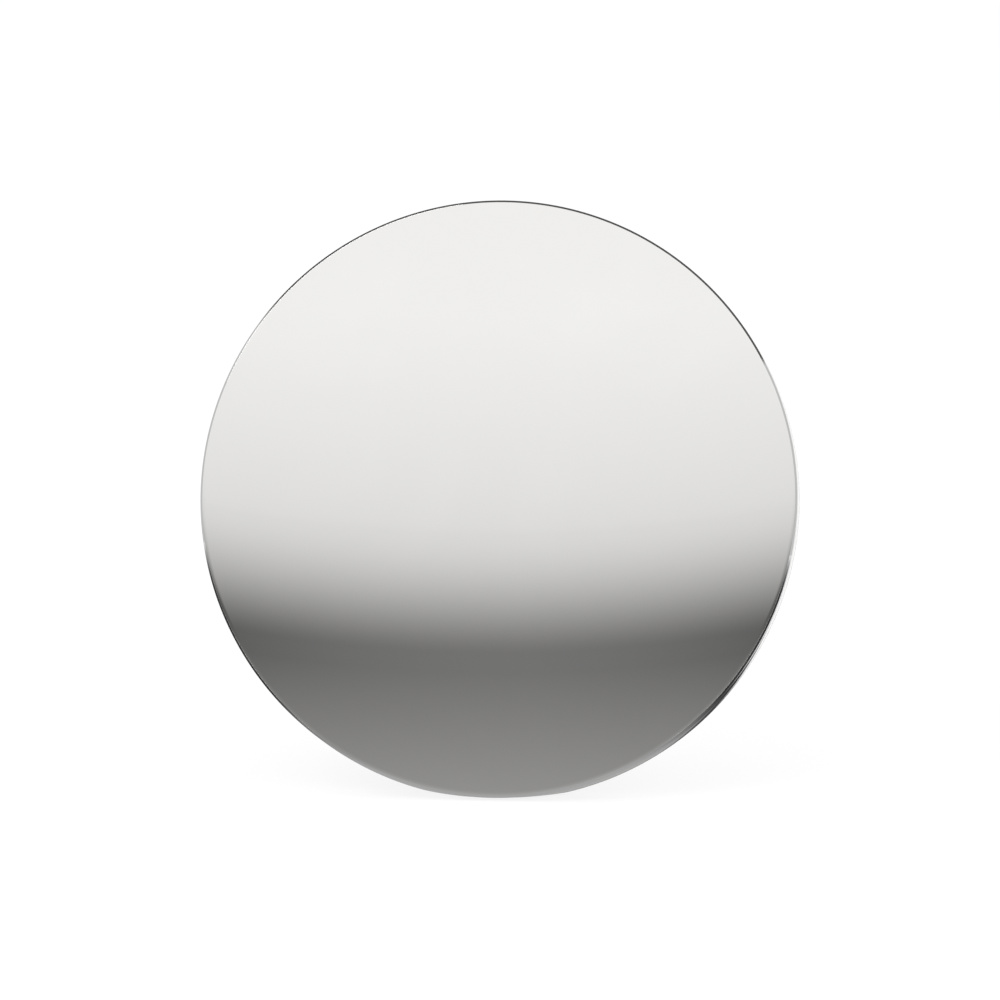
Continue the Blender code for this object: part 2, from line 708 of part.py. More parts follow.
def leg_rows():
    """Heights of the leg's rows from the top down, with the lift of the pressed panel at each."""
    flat_start = LEG_EAR * sin(OPENING)
    ear = [LEG_EAR * sin(turn) for turn in spread(OPENING, 0.0, ARC_STEPS)]
    rows = [(EAR_TOP, 0.0)] + [(height, 0.0) for height in ear]
    rows += [(height, 0.0) for height in spread(0.0, PANEL_HEAD, ARC_STEPS)[1:]]
    shares = spread(0.0, 1.0, SLOPE_STEPS)[1:]
    rows += [(PANEL_HEAD - PANEL_SLOPE * share, PANEL_RAISE * eased(share)) for share in shares]
    lifted = spread(PANEL_HEAD - PANEL_SLOPE, PANEL_TAIL + PANEL_SLOPE, LEG_ROWS)
    rows += [(height, PANEL_RAISE) for height in lifted[1:]]
    rows += [(PANEL_TAIL + PANEL_SLOPE * (1 - share), PANEL_RAISE * eased(1 - share)) for share in shares]
    rows += [(height, 0.0) for height in spread(PANEL_TAIL, FLANGE_END, ARC_STEPS)[1:]]
    return rows


def mirrored_row(bm, half_section, height):
    """Points across the leg from its right edge to its left edge."""
    right = [(x, y) for x, y in reversed(half_section)]
    left = [(-x, y) for x, y in half_section[1:]]
    return [bm.verts.new((x, y, height)) for x, y in right + left]


def join_rows(bm, upper, lower):
    for first, second, third, fourth in zip(upper, upper[1:], lower[1:], lower):
        bm.faces.new((first, second, third, fourth))


def leg_plate(leg):
    bm = bmesh.new()
    rows = [mirrored_row(bm, leg_section(height, lift), height) for height, lift in leg_rows()]
    for upper, lower in zip(rows, rows[1:]):
        join_rows(bm, upper, lower)
    web = web_columns(leg_half_width(FLANGE_END), 0.0)
    spare = len(leg_section(FLANGE_END, 0.0)) - len(web)
    toe = mirrored_row(bm, web, TOE_END)
    join_rows(bm, rows[-1][spare:-spare], toe)
    bmesh.ops.recalc_face_normals(bm, faces=bm.faces)
    plate = piece("leg_plate", bm, leg, SATIN_STEEL)
    thicken(plate, LEG_SHEET)
    combine(plate, pin_cut("bush_hole", BUSH_HOLE, leg), "DIFFERENCE")


def foot_sole(y):
    """Height on the leg of the counter, at a distance behind the pin."""
    return -(AXIS_RISE + y * sin(LEG_SLANT)) / cos(LEG_SLANT)


def leg_foot(leg):
    front = WEB_OFFSET - FOOT_THICKNESS / 2
    back = WEB_OFFSET + FOOT_THICKNESS / 2
    half = TOE_HALF + GAP + FOOT_END
    section = [(front, FOOT_TOP), (back, FOOT_TOP), (back, foot_sole(back)), (front, foot_sole(front))]
    foot = piece("leg_foot", prism(section, -half, half, "YZX"), leg, RUBBER)
    rounding = foot.modifiers.new("rounding", "BEVEL")
    rounding.width = FOOT_ROUND
    rounding.segments = FOOT_STEPS
    slot_half = LEG_SHEET / 2 + GAP
    slot = [
        (WEB_OFFSET - slot_half, FOOT_TOP + FOOT_ROUND),
        (WEB_OFFSET + slot_half, FOOT_TOP + FOOT_ROUND),
        (WEB_OFFSET + slot_half, TOE_END - GAP),
        (WEB_OFFSET - slot_half, TOE_END - GAP),
    ]
    reach = TOE_HALF + GAP
    combine(foot, cutter("foot_slot", prism(slot, -reach, reach, "YZX"), leg), "DIFFERENCE")


def fold_bumpers(hinge):
    base = PANEL_DEPTH + GAP - AXIS_DEPTH
    top = -FLANGE_REACH - GAP
    crown = arc((BUMPER_RADIUS - BUMPER_ROUND, top - BUMPER_ROUND), BUMPER_ROUND, 0, 90, ARC_STEPS)
    profile = [(0.0, base), (BUMPER_RADIUS, base)] + crown + [(0.0, top)]
    across = leg_half_width(-BUMPER_BELOW)
    for name, side in (("left", -1), ("right", 1)):
        place = (side * across, 0.0, -BUMPER_BELOW)
        piece(f"fold_bumper_{name}", turned(profile, SMALL_STEPS), hinge, RUBBER, place)


def main():
    clear_scene()
    head = frame("head_frame", (0.0, HEAD_FORWARD, HEAD_RISE), (-LEAN, 0.0, 0.0))
    hinge = frame("hinge_frame", (0.0, AXIS_DEPTH, HINGE_HEIGHT), (0.0, 0.0, 0.0), head)
    leg = frame("leg_frame", (0.0, 0.0, 0.0), (OPENING, 0.0, 0.0), hinge)
    sole = sole_cut()
    screw_holes = screw_hole_cut(hinge)
    mirror_glass(head)
    safety_backing(head)
    bonding_tape(head)
    rear_housing(head, sole, screw_holes)
    rim_band(head, sole)
    sole_pad()
    hinge_plate(hinge, screw_holes)
    hinge_bracket(hinge, screw_holes)
    bracket_screws(hinge)
    hinge_pin(hinge)
    disc_springs(hinge)
    pin_clips(hinge)
    fold_bumpers(hinge)
    leg_plate(leg)
    leg_bushes(leg)
    leg_foot(leg)


if __name__ == "__main__":
    main()
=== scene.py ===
"""Finished look of a round countertop mirror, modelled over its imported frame.

The file is laid out as an add-on. Sizes and colours are properties, and each operator makes one piece
or one group of like pieces. Metres, +Z up, and the glass faces -Y. Pieces are modelled upright at the
origin, in the frame of the disc, the hinge or the leg, and are then leaned into place.
"""

import json
from contextlib import contextmanager
from functools import cache, partial
from math import atan, cos, pi, radians, sin

import bpy
from bpy.props import FloatProperty, FloatVectorProperty, IntProperty, PointerProperty
from mathutils import Matrix, Vector


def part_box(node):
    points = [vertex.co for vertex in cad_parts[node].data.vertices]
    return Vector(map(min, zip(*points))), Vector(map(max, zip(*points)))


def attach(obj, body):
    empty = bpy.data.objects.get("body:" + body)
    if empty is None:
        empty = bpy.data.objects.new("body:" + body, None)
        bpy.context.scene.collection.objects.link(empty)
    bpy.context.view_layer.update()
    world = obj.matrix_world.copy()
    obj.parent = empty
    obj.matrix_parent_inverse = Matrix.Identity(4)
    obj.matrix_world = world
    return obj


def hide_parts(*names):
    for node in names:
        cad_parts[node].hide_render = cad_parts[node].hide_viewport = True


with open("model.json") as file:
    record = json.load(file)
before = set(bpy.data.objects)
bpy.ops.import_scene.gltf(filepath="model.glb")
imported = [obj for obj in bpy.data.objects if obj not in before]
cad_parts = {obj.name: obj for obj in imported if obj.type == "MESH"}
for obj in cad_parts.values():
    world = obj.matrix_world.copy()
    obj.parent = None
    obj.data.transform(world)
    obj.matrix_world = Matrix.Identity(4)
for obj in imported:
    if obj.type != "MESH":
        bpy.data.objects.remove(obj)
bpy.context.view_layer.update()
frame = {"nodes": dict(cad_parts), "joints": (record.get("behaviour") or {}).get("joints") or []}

bl_info = {
    "name": "Round Countertop Mirror",
    "version": (1, 0, 0),
    "blender": (4, 5, 0),
    "location": "3D View > Sidebar > Mirror",
    "description": "Models and finishes a round countertop mirror on a folding leg",
    "category": "Add Mesh",
}

# How finely curves are drawn
DISC_SIDES = 256
SMALL_SIDES = 48
CORNER_STEPS = 8
DOME_STEPS = 8
EDGE_STEPS = 2
BODY_STEPS = 3
FOOT_STEPS = 4

# Counts and sides
SCREWS = 4
SOCKET_SIDES = 6
SIDES = {"left": -1, "right": 1}

# Modelling limits
MERGE = 1e-6
FLAT_ANGLE = radians(0.5)
SHARP_ANGLE = radians(28)
CRISP_ANGLE = radians(12)
PRESSED_ANGLE = radians(40)  # the leg's bends are gentler and stay as they were pressed
SIDEWAYS = 0.05  # how far along X the normal of a face that shows a lean may run
FLAT_WEIGHT = 100  # the large flats alone decide how the edges between them are shaded

DOWN = Vector((0.0, 0.0, -1.0))

# Material numbers of a piece, after its main finish at 0
SAME_MATERIAL = -1
EDGE_MATERIAL = 1
SIDE_MATERIAL = 2


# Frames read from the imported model


def flat_lean(node):
    """How far a node's largest flat face leans back from upright."""
    faces = [face for face in frame["nodes"][node].data.polygons if abs(face.normal.x) < SIDEWAYS]
    normal = max(faces, key=lambda face: face.area).normal
    return atan(-normal.z / normal.y)


def box_in(node, place):
    """A node's lowest and highest corners, in a leaning frame."""
    back = place.inverted()
    points = [back @ point.co for point in frame["nodes"][node].data.vertices]
    low = Vector([min(axis) for axis in zip(*points)])
    high = Vector([max(axis) for axis in zip(*points)])
    return low, high


def disc_frame(lean):
    """Frame of the disc: its origin is the middle of the glass, and its +Y runs to the back."""
    turn = Matrix.Rotation(-lean, 4, "X")
    low, high = box_in("mirror_glass", turn)
    middle = (low + high) / 2
    return turn @ Matrix.Translation((middle.x, low.y, middle.z))


LEAN = flat_lean("mirror_glass")
LEG_LEAN = flat_lean("leg_plate")
PIN = Matrix.Translation(frame["joints"][0]["pos_m"])
DISC = disc_frame(LEAN)
HINGE = PIN @ Matrix.Rotation(-LEAN, 4, "X")
LEG = PIN @ Matrix.Rotation(-LEG_LEAN, 4, "X")


# Sizes, colours and studio as properties


def length(name, description, default):
    return FloatProperty(
        name=name, description=description, default=default, min=0.0, unit="LENGTH", precision=5
    )


def colour(name, description, default):
    return FloatVectorProperty(
        name=name, description=description, default=default, size=3, min=0.0, max=1.0, subtype="COLOR"
    )


def angle(name, description, degrees):
    return FloatProperty(name=name, description=description, default=radians(degrees), unit="ROTATION")


def amount(name, description, default):
    return FloatProperty(name=name, description=description, default=default, min=0.0)


class MirrorShape(bpy.types.PropertyGroup):
    """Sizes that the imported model's boxes don't give"""

    gap: length("Gap", "Clearance between pieces that touch", 0.0003)
    chamfer: length("Chamfer", "Polished chamfer on the front of the glass", 0.0010)
    roll: length("Rolled rim", "Width over which polishing has rolled the face off at its rim", 0.0016)
    roll_drop: length("Roll depth", "How far the face falls away at its rim", 0.000012)
    arris: length("Arris", "Ground rear edge of the glass", 0.0006)
    crisp: length("Crisp edge", "Rounding of the edges of the glass", 0.00005)
    band_sheet: length("Band", "Thickness of the steel band", 0.0012)
    band_round: length("Band edge", "Rounding of the band's edges", 0.0003)
    rear_round: length("Rear corner", "Rounding of the body's rear corner", 0.0012)
    edge_ring: length("Edge ring", "Width of the raised ring round the back", 0.0120)
    step: length("Step", "Depth of the back's recessed middle", 0.0012)
    step_slope: length("Step slope", "Width of the slope down to the recessed middle", 0.0015)
    step_round: length("Step edge", "Rounding of the step's edges", 0.0005)
    rear_wall: length("Rear wall", "Thickness of the body's rear wall", 0.0026)
    rim_width: length("Rim", "Width of the body's thick edge", 0.0080)
    lip_width: length("Lip", "Width of the lip round the bonding tape", 0.0016)
    ledge: length("Ledge", "Depth of the ledge under the lip", 0.0024)
    bracket_sheet: length("Bracket", "Thickness of the bracket's sheet", 0.0020)
    sheet_round: length("Sheet edge", "Rounding of the pressed steel's edges", 0.00030)
    screw_shank: length("Screw shank", "Radius of the bracket screws", 0.0020)
    screw_rim: length("Screw rim", "Straight edge of the screw head", 0.0007)
    screw_crown: length("Screw crown", "Radius of the flat on the screw head", 0.0021)
    socket: length("Socket", "Radius of the hexagon socket", 0.0014)
    socket_depth: length("Socket depth", "Depth of the hexagon socket", 0.0012)
    small_round: length("Small edge", "Rounding of the hinge's small parts", 0.00012)
    pin_chamfer: length("Pin chamfer", "Chamfer at the ends of the pin", 0.0005)
    pin_groove: length("Pin groove", "Depth of the grooves for the clips", 0.0007)
    bush_wall: length("Bush wall", "Wall of the bush inside the leg's ear", 0.0009)
    bush_flange: length("Bush flange", "Thickness of the bush's flange", 0.0012)
    spring_sheet: length("Spring", "Thickness of the conical washers", 0.0006)
    foot_round: length("Foot edge", "Rounding of the rubber foot", 0.0012)
    foot_slot: length("Foot slot", "Width of the slot that takes the leg", 0.0021)
    foot_end: length("Foot end", "Rubber past the ends of the slot", 0.0045)
    groove: length("Foot groove", "Width of the grip grooves round the foot", 0.0011)
    groove_depth: length("Foot groove depth", "Depth of the grip grooves", 0.0006)
    groove_pitch: length("Foot groove pitch", "From one grip groove to the next", 0.0030)
    grooves: IntProperty(name="Foot grooves", description="Number of grip grooves", default=3, min=0)
    pad_corner: length("Strip corner", "Corner radius of the rubber strip", 0.0025)
    pad_round: length("Strip edge", "Rounding of the rubber strip", 0.0003)
    bumper_round: length("Button edge", "Rounding of the rubber buttons", 0.0014)


class MirrorFinish(bpy.types.PropertyGroup):
    """Colours of the finishes"""

    silver: colour("Silver", "Reflection of the silvered glass", (0.910, 0.903, 0.887))
    glass_edge: colour("Glass edge", "Polished chamfer of the glass", (0.81, 0.815, 0.808))
    glass_side: colour("Glass side", "Ground side of the glass", (0.665, 0.685, 0.675))
    band: colour("Band", "Polished steel band", (0.82, 0.815, 0.80))
    moulding: colour("Moulding", "Black moulded body", (0.021, 0.021, 0.023))
    steel: colour("Steel", "Satin steel of the bracket, pin and leg", (0.60, 0.60, 0.59))
    rubbed: colour("Rubbed edges", "Pressed edges, bright from deburring and handling", (0.75, 0.75, 0.74))
    screw: colour("Screws", "Plated bracket screws", (0.42, 0.42, 0.415))
    spring: colour("Spring steel", "Washers and clips", (0.30, 0.30, 0.32))
    nylon: colour("Nylon", "Bushes", (0.74, 0.72, 0.66))
    rubber: colour("Rubber", "Foot, strip and buttons", (0.018, 0.018, 0.019))
    film: colour("Film", "Film on the back of the glass", (0.16, 0.19, 0.22))
    foam: colour("Foam", "Bonding tape", (0.70, 0.70, 0.67))


class MirrorStudio(bpy.types.PropertyGroup):
    """Floor, light, reflection cards and camera"""

    camera_side: angle("Camera side", "Camera to the right of straight ahead", 4.8)
    camera_height: angle("Camera height", "Camera above level", 10.6)
    camera_distance: length("Camera distance", "Camera to the disc", 10.0)
    view_width: length("View width", "Width of the picture at the disc", 0.5013)
    aim_depth: length("Aim depth", "Point that the camera aims at, behind the glass", 0.0100)
    floor: colour("Floor", "Pale floor", (0.80, 0.80, 0.80))
    floor_shade: amount("Floor shade", "Part of the floor's white that a shadow can take away", 0.20)
    daylight: amount("Daylight", "Light from all round", 0.80)
    key_power: amount("Key", "Power of the main lamp in watts", 12.0)
    fill_power: amount("Fill", "Power of the second lamp in watts", 6.0)
    back_power: amount("Back", "Power of the lamp behind in watts", 4.0)
    card_high: amount("Card top", "Tone of the graded card towards its top", 0.956)
    card_middle: amount("Card middle", "Tone of the graded card where it starts to darken", 0.768)
    card_low: amount("Card dark", "Tone of the graded card where it is darkest", 0.187)
    card_foot: amount("Card foot", "Tone of the graded card towards its foot", 0.414)
    flag_tone: amount("Overhead flag", "Tone of the dark card overhead", 0.10)
    mat_bright: amount("Mat middle", "Tone of the mat in front of the foot", 0.44)
    mat_dark: amount("Mat sides", "Tone of the mat to either side", 0.045)
    sweep_tone: amount("Sweep", "Tone of the graded sheet on the floor towards its near end", 0.40)
    wing_tone: amount("Side cards", "Tone of the cards to either side", 0.62)


# Modelling helpers


def use(piece):
    """Make a piece the only selected object."""
    bpy.ops.object.select_all(action="DESELECT")
    piece.select_set(True)
    bpy.context.view_layer.objects.active = piece


def named(name):
    """Name the object that an operator has just added, and bring its place into its mesh."""
    piece = bpy.context.object
    piece.name = name
    piece.data.name = name
    bpy.ops.object.transform_apply(location=True, rotation=True, scale=True)
    return piece


@contextmanager
def editing(piece):
    """Edit mode, with all of a piece selected."""
    use(piece)
    bpy.ops.object.mode_set(mode="EDIT")
    bpy.ops.mesh.select_all(action="SELECT")
    yield
    bpy.ops.object.mode_set(mode="OBJECT")


@contextmanager
def picked(piece, edges=(), faces=()):
    """Edit mode, with only these edges or faces of a piece selected."""
    use(piece)
    mesh = piece.data
    for parts in (mesh.vertices, mesh.edges, mesh.polygons):
        parts.foreach_set("select", [False] * len(parts))
    bpy.context.tool_settings.mesh_select_mode = (False, bool(edges), not edges)
    for part in [*edges, *faces]:
        part.select = True
    bpy.ops.object.mode_set(mode="EDIT")
    yield
    bpy.ops.object.mode_set(mode="OBJECT")


def turned(name, rings, sides):
    """Extrude a circle about the local Y axis through (radius, depth) rings.

    Ends that meet are joined, and other ends are closed.
    """
    looped = rings[0] == rings[-1]
    radius, depth = rings[0]
    bpy.ops.object.select_all(action="DESELECT")
    bpy.ops.mesh.primitive_circle_add(
        vertices=sides,
        radius=radius,
        fill_type="NOTHING" if looped else "NGON",
        location=(0.0, depth, 0.0),
        rotation=(pi / 2, 0.0, 0.0),
    )
    piece = named(name)
    with editing(piece):
        for next_radius, next_depth in rings[1:]:
            step = (0.0, next_depth - depth, 0.0)
            bpy.ops.mesh.extrude_edges_move(TRANSFORM_OT_translate={"value": step})
            growth = next_radius / radius
            bpy.ops.transform.resize(value=(growth, 1.0, growth), center_override=(0.0, next_depth, 0.0))
            radius, depth = next_radius, next_depth
        if not looped:
            bpy.ops.mesh.edge_face_add()
        bpy.ops.mesh.select_all(action="SELECT")
        bpy.ops.mesh.remove_doubles(threshold=MERGE)
        bpy.ops.mesh.normals_make_consistent(inside=False)
    return piece


def traced(node, name):
    """A copy of a node's mesh, with its triangles joined and its flats cleared of stray edges."""
    piece = bpy.data.objects.new(name, frame["nodes"][node].data.copy())
    piece.data.name = name
    piece.data.materials.clear()
    bpy.context.collection.objects.link(piece)
    use(piece)
    bpy.ops.mesh.customdata_custom_splitnormals_clear()
    with editing(piece):
        bpy.ops.mesh.remove_doubles(threshold=MERGE)
        bpy.ops.mesh.dissolve_limited(angle_limit=FLAT_ANGLE)
    return piece


def block(name, low, high):
    """A box between two corners."""
    bpy.ops.object.select_all(action="DESELECT")
    bpy.ops.mesh.primitive_cube_add(size=1.0, location=(low + high) / 2, scale=high - low)
    return named(name)


def modify(piece, kind, **settings):
    """Add a modifier to a piece, and apply it."""
    modifier = piece.modifiers.new(kind, kind)
    for name, value in settings.items():
        setattr(modifier, name, value)
    use(piece)
    bpy.ops.object.modifier_apply(modifier=modifier.name)


def round_edges(piece, width, steps=EDGE_STEPS, limit=SHARP_ANGLE, material=SAME_MATERIAL):
    """Round every edge sharper than a limit. The rounded strips can take a material of their own."""
    sharper = {"limit_method": "ANGLE", "angle_limit": limit}
    modify(piece, "BEVEL", width=width, segments=steps, material=material, **sharper)


def carve(piece, cutter):
    """Cut one shape out of a piece, and remove the cutter."""
    modify(piece, "BOOLEAN", operation="DIFFERENCE", solver="EXACT", object=cutter)
    bpy.data.objects.remove(cutter, do_unlink=True)


def cut_across(piece, point, normal, clear):
    """Cut a piece across a plane. What lies ahead of the plane can be cleared, and the cut closed."""
    with editing(piece):
        bpy.ops.mesh.bisect(
            plane_co=point, plane_no=normal, use_fill=clear, clear_outer=clear, threshold=MERGE
        )


def cut_below(piece, height):
    """Cut a placed piece off level, and close the cut."""
    cut_across(piece, (0.0, 0.0, height), DOWN, True)


def seat(piece, place):
    """Lean a piece from the origin into its frame, with its place in its mesh."""
    use(piece)
    piece.matrix_world = place
    bpy.ops.object.transform_apply(location=True, rotation=True, scale=True)


def smooth(piece, limit=SHARP_ANGLE):
    use(piece)
    bpy.ops.object.shade_smooth_by_angle(angle=limit)


def flatten_shading(piece):
    """Let the large flats keep their own direction, so that only the rounded edges between them shade."""
    modify(piece, "WEIGHTED_NORMAL", weight=FLAT_WEIGHT, keep_sharp=True)


def paint(piece, *materials):
    for material in materials:
        piece.data.materials.append(material)


def dress(piece, body, slot, *nodes):
    """Hang a finished piece on its body, in place of its nodes."""
    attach(piece, body)
    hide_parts(*nodes)


def along_pin(side):
    """Turns a shape made along +Y to run out along the pin, to the right or to the left."""
    return Matrix.Rotation(-side * pi / 2, 4, "Z")


def small_part(name, rings, shape, place, material):
    """Turn a small part, round its edges and seat it."""
    part = turned(name, rings, SMALL_SIDES)
    paint(part, material)
    round_edges(part, shape.small_round)
    seat(part, place)
    smooth(part)
    return part


def arc(middle, radius, start, end, steps):
    """(radius, depth) points on a quarter or less of a circle, with the angles in degrees."""
    turns = [radians(start + (end - start) * step / steps) for step in range(steps + 1)]
    return [(middle[0] + radius * cos(turn), middle[1] + radius * sin(turn)) for turn in turns]


# Node helpers


def feed(tree, socket, value):
    """Set a socket to a value, or link it to another socket."""
    if isinstance(value, bpy.types.NodeSocket):
        tree.links.new(value, socket)
    else:
        socket.default_value = value


def add(tree, kind, inputs=None, **settings):
    """Add a node with its settings and its inputs, by name or by number, and give its outputs."""
    node = tree.nodes.new(kind)
    for name, value in settings.items():
        setattr(node, name, value)
    for name, value in (inputs or {}).items():
        feed(tree, node.inputs[name], value)
    return node.outputs


def maths(tree, operation, first, second=0.0):
    return add(tree, "ShaderNodeMath", {0: first, 1: second}, operation=operation)[0]


def remap(tree, value, low, high, out_low=0.0, out_high=1.0, shape="LINEAR"):
    inputs = {"Value": value, "From Min": low, "From Max": high, "To Min": out_low, "To Max": out_high}
    return add(tree, "ShaderNodeMapRange", inputs, interpolation_type=shape)["Result"]


# Kinds of socket
FLOAT = "NodeSocketFloat"
VECTOR = "NodeSocketVector"
COLOUR = "NodeSocketColor"

# Noise of the lines, the grain and the patches, how high they stand, and where their masks begin and end
LINE_NOISE = {"Scale": 1.0, "Detail": 5.0, "Roughness": 0.65}
LINE_HEIGHT = 0.00005
GRAIN_DETAIL = 3.0
GRAIN_HEIGHT = 0.0001
GRAIN_RANGE = (0.3, 1.2)
PATCH_NOISE = {"Detail": 4.0, "Roughness": 0.6, "Distortion": 0.6}
PATCH_RANGE = (0.32, 0.72)
MASK_RANGE = (0.25, 0.75)


def group(name, inputs, outputs):
    """A new shader node group with named sockets, and its two end nodes."""
    made = bpy.data.node_groups.new(name, "ShaderNodeTree")
    for way, sockets in (("INPUT", inputs), ("OUTPUT", outputs)):
        for label, kind in sockets.items():
            made.interface.new_socket(label, in_out=way, socket_type=kind)
    return made, made.nodes.new("NodeGroupInput").outputs, made.nodes.new("NodeGroupOutput").inputs


def bumped(tree, depth, height, relief):
    """Normals tilted by a relief, which stands at this height where its depth is 1."""
    inputs = {"Strength": depth, "Distance": height, "Height": relief}
    return add(tree, "ShaderNodeBump", inputs)["Normal"]


@cache
def lines_group():
    """Fine polishing lines: noise drawn out along the direction that the stretch leaves small."""
    inputs = {"Vector": VECTOR, "Stretch": VECTOR, "Depth": FLOAT}
    tree, given, result = group("Polishing lines", inputs, {"Lines": FLOAT, "Normal": VECTOR})
    stretch = {0: given["Vector"], 1: given["Stretch"]}
    drawn = add(tree, "ShaderNodeVectorMath", stretch, operation="MULTIPLY")[0]
    lines = add(tree, "ShaderNodeTexNoise", {"Vector": drawn, **LINE_NOISE})["Fac"]
    feed(tree, result["Lines"], lines)
    feed(tree, result["Normal"], bumped(tree, given["Depth"], LINE_HEIGHT, lines))
    return tree


@cache
def grain_group():
    """Fine leathery grain of a moulded surface."""
    inputs = {"Vector": VECTOR, "Grains": FLOAT, "Depth": FLOAT}
    tree, given, result = group("Moulded grain", inputs, {"Grain": FLOAT, "Normal": VECTOR})
    cells = {"Vector": given["Vector"], "Scale": given["Grains"]}
    pits = add(tree, "ShaderNodeTexVoronoi", cells, feature="SMOOTH_F1")["Distance"]
    rough = add(tree, "ShaderNodeTexNoise", {**cells, "Detail": GRAIN_DETAIL})["Fac"]
    relief = maths(tree, "ADD", pits, rough)
    feed(tree, result["Grain"], remap(tree, relief, *GRAIN_RANGE))
    feed(tree, result["Normal"], bumped(tree, given["Depth"], GRAIN_HEIGHT, relief))
    return tree


@cache
def marks_group():
    """Faint uneven patches left by wiping and handling, between two values."""
    inputs = {"Vector": VECTOR, "Size": FLOAT, "Least": FLOAT, "Most": FLOAT}
    tree, given, result = group("Handling marks", inputs, {"Value": FLOAT})
    noise = {"Vector": given["Vector"], "Scale": given["Size"], **PATCH_NOISE}
    patches = add(tree, "ShaderNodeTexNoise", noise)["Fac"]
    value = remap(tree, patches, *PATCH_RANGE, given["Least"], given["Most"], "SMOOTHSTEP")
    feed(tree, result["Value"], value)
    return tree


@cache
def shade_group():
    """One colour made a little lighter or darker by a mask."""
    inputs = {"Colour": COLOUR, "Mask": FLOAT, "Least": FLOAT, "Most": FLOAT}
    tree, given, result = group("Shade", inputs, {"Colour": COLOUR})
    factor = remap(tree, given["Mask"], *MASK_RANGE, given["Least"], given["Most"])
    scaled = add(tree, "ShaderNodeVectorMath", {0: given["Colour"], "Scale": factor}, operation="SCALE")
    feed(tree, result["Colour"], scaled[0])
    return tree


def shared(tree, make, inputs):
    """Place one of the shared groups in a material."""
    node = tree.nodes.new("ShaderNodeGroup")
    node.node_tree = make()
    for label, value in inputs.items():
        feed(tree, node.inputs[label], value)
    return node.outputs


# Finishes

# How many polishing lines there are to a metre, along X, Y and Z
ROUND_LINES = (25.0, 2600.0, 25.0)
UPRIGHT_LINES = (2200.0, 2200.0, 18.0)
LEVEL_LINES = (18.0, 2200.0, 2200.0)
LINE_RANGE = (0.2, 0.8)

# How many patches of handling there are to a metre, and how far they change a surface
GLASS_PATCHES = 9.0
METAL_PATCHES = 40.0
MOULDED_PATCHES = 28.0
METAL_WEAR = 0.08
MOULDED_WEAR = 0.08
BLOOM = 0.005
SILVER_ROUGH = (0.004, 0.016)

# Depth of the lines on each metal or glass finish, its range of roughness, and how far its shade changes
CHAMFER_LOOK = {"depth": 0.02, "rough": (0.03, 0.08), "swing": 0.03}
SIDE_LOOK = {"depth": 0.08, "rough": (0.12, 0.22), "swing": 0.05}
BAND_LOOK = {"depth": 0.05, "rough": (0.07, 0.15), "swing": 0.04}
SATIN_LOOK = {"depth": 0.18, "rough": (0.28, 0.38), "swing": 0.10}
RUBBED_LOOK = {"depth": 0.1, "rough": (0.14, 0.28), "swing": 0.06}
SCREW_LOOK = {"depth": 0.1, "rough": (0.14, 0.26), "swing": 0.10}
SPRING_LOOK = {"depth": 0.1, "rough": (0.18, 0.34), "swing": 0.08}

# The same for moulded finishes, after the number of grains to a metre. Their swing is painted shade in the
# pits of the grain and painted light on its ridges
MOULDING_LOOK = {"grains": 1000.0, "depth": 0.5, "rough": (0.42, 0.58), "swing": 0.45}
RUBBER_LOOK = {"grains": 2200.0, "depth": 0.3, "rough": (0.62, 0.82), "swing": 0.30}
FOAM_LOOK = {"grains": 900.0, "depth": 0.5, "rough": (0.80, 0.95), "swing": 0.12}
FILM_LOOK = {"grains": 600.0, "depth": 0.1, "rough": (0.40, 0.55), "swing": 0.05}
NYLON_LOOK = {"grains": 1800.0, "depth": 0.12, "rough": (0.36, 0.50), "swing": 0.05}


def blank(name, metallic):
    """A new material with its tree, its shader and its object coordinates."""
    material = bpy.data.materials.new(name)
    material.use_nodes = True
    tree = material.node_tree
    shader = tree.nodes["Principled BSDF"]
    shader.inputs["Metallic"].default_value = metallic
    place = add(tree, "ShaderNodeTexCoord")["Object"]
    return material, tree, shader.inputs, place


def leaned(tree, place, lean):
    """Coordinates turned upright with a leaning piece."""
    return add(tree, "ShaderNodeMapping", {"Vector": place, "Rotation": (lean, 0.0, 0.0)})[0]


def toned(tree, base, mask, swing):
    """A colour that a mask makes lighter or darker by swing."""
    inputs = {"Colour": (*base, 1.0), "Mask": mask, "Least": 1.0 - swing, "Most": 1.0 + swing}
    return shared(tree, shade_group, inputs)["Colour"]


def silvered(base):
    """Silvered glass, with the faintest bloom left by wiping."""
    material, tree, sockets, place = blank("silvered_glass_face", metallic=1.0)
    wiped = {"Vector": place, "Size": GLASS_PATCHES, "Least": 0.0, "Most": 1.0}
    bloom = shared(tree, marks_group, wiped)["Value"]
    feed(tree, sockets["Base Color"], toned(tree, base, bloom, BLOOM))
    feed(tree, sockets["Roughness"], remap(tree, bloom, 0.0, 1.0, *SILVER_ROUGH))
    return material


def lined_metal(name, base, lean, stretch, depth, rough, swing):
    """Metal or polished glass with fine lines, made once under its name."""
    if name in bpy.data.materials:
        return bpy.data.materials[name]
    material, tree, sockets, place = blank(name, metallic=1.0)
    upright = leaned(tree, place, lean)
    lines = shared(tree, lines_group, {"Vector": upright, "Stretch": stretch, "Depth": depth})
    wiped = {"Vector": place, "Size": METAL_PATCHES, "Least": -METAL_WEAR, "Most": METAL_WEAR}
    worn = maths(tree, "ADD", lines["Lines"], shared(tree, marks_group, wiped)["Value"])
    feed(tree, sockets["Base Color"], toned(tree, base, lines["Lines"], swing))
    feed(tree, sockets["Roughness"], remap(tree, worn, *LINE_RANGE, *rough))
    feed(tree, sockets["Normal"], lines["Normal"])
    return material


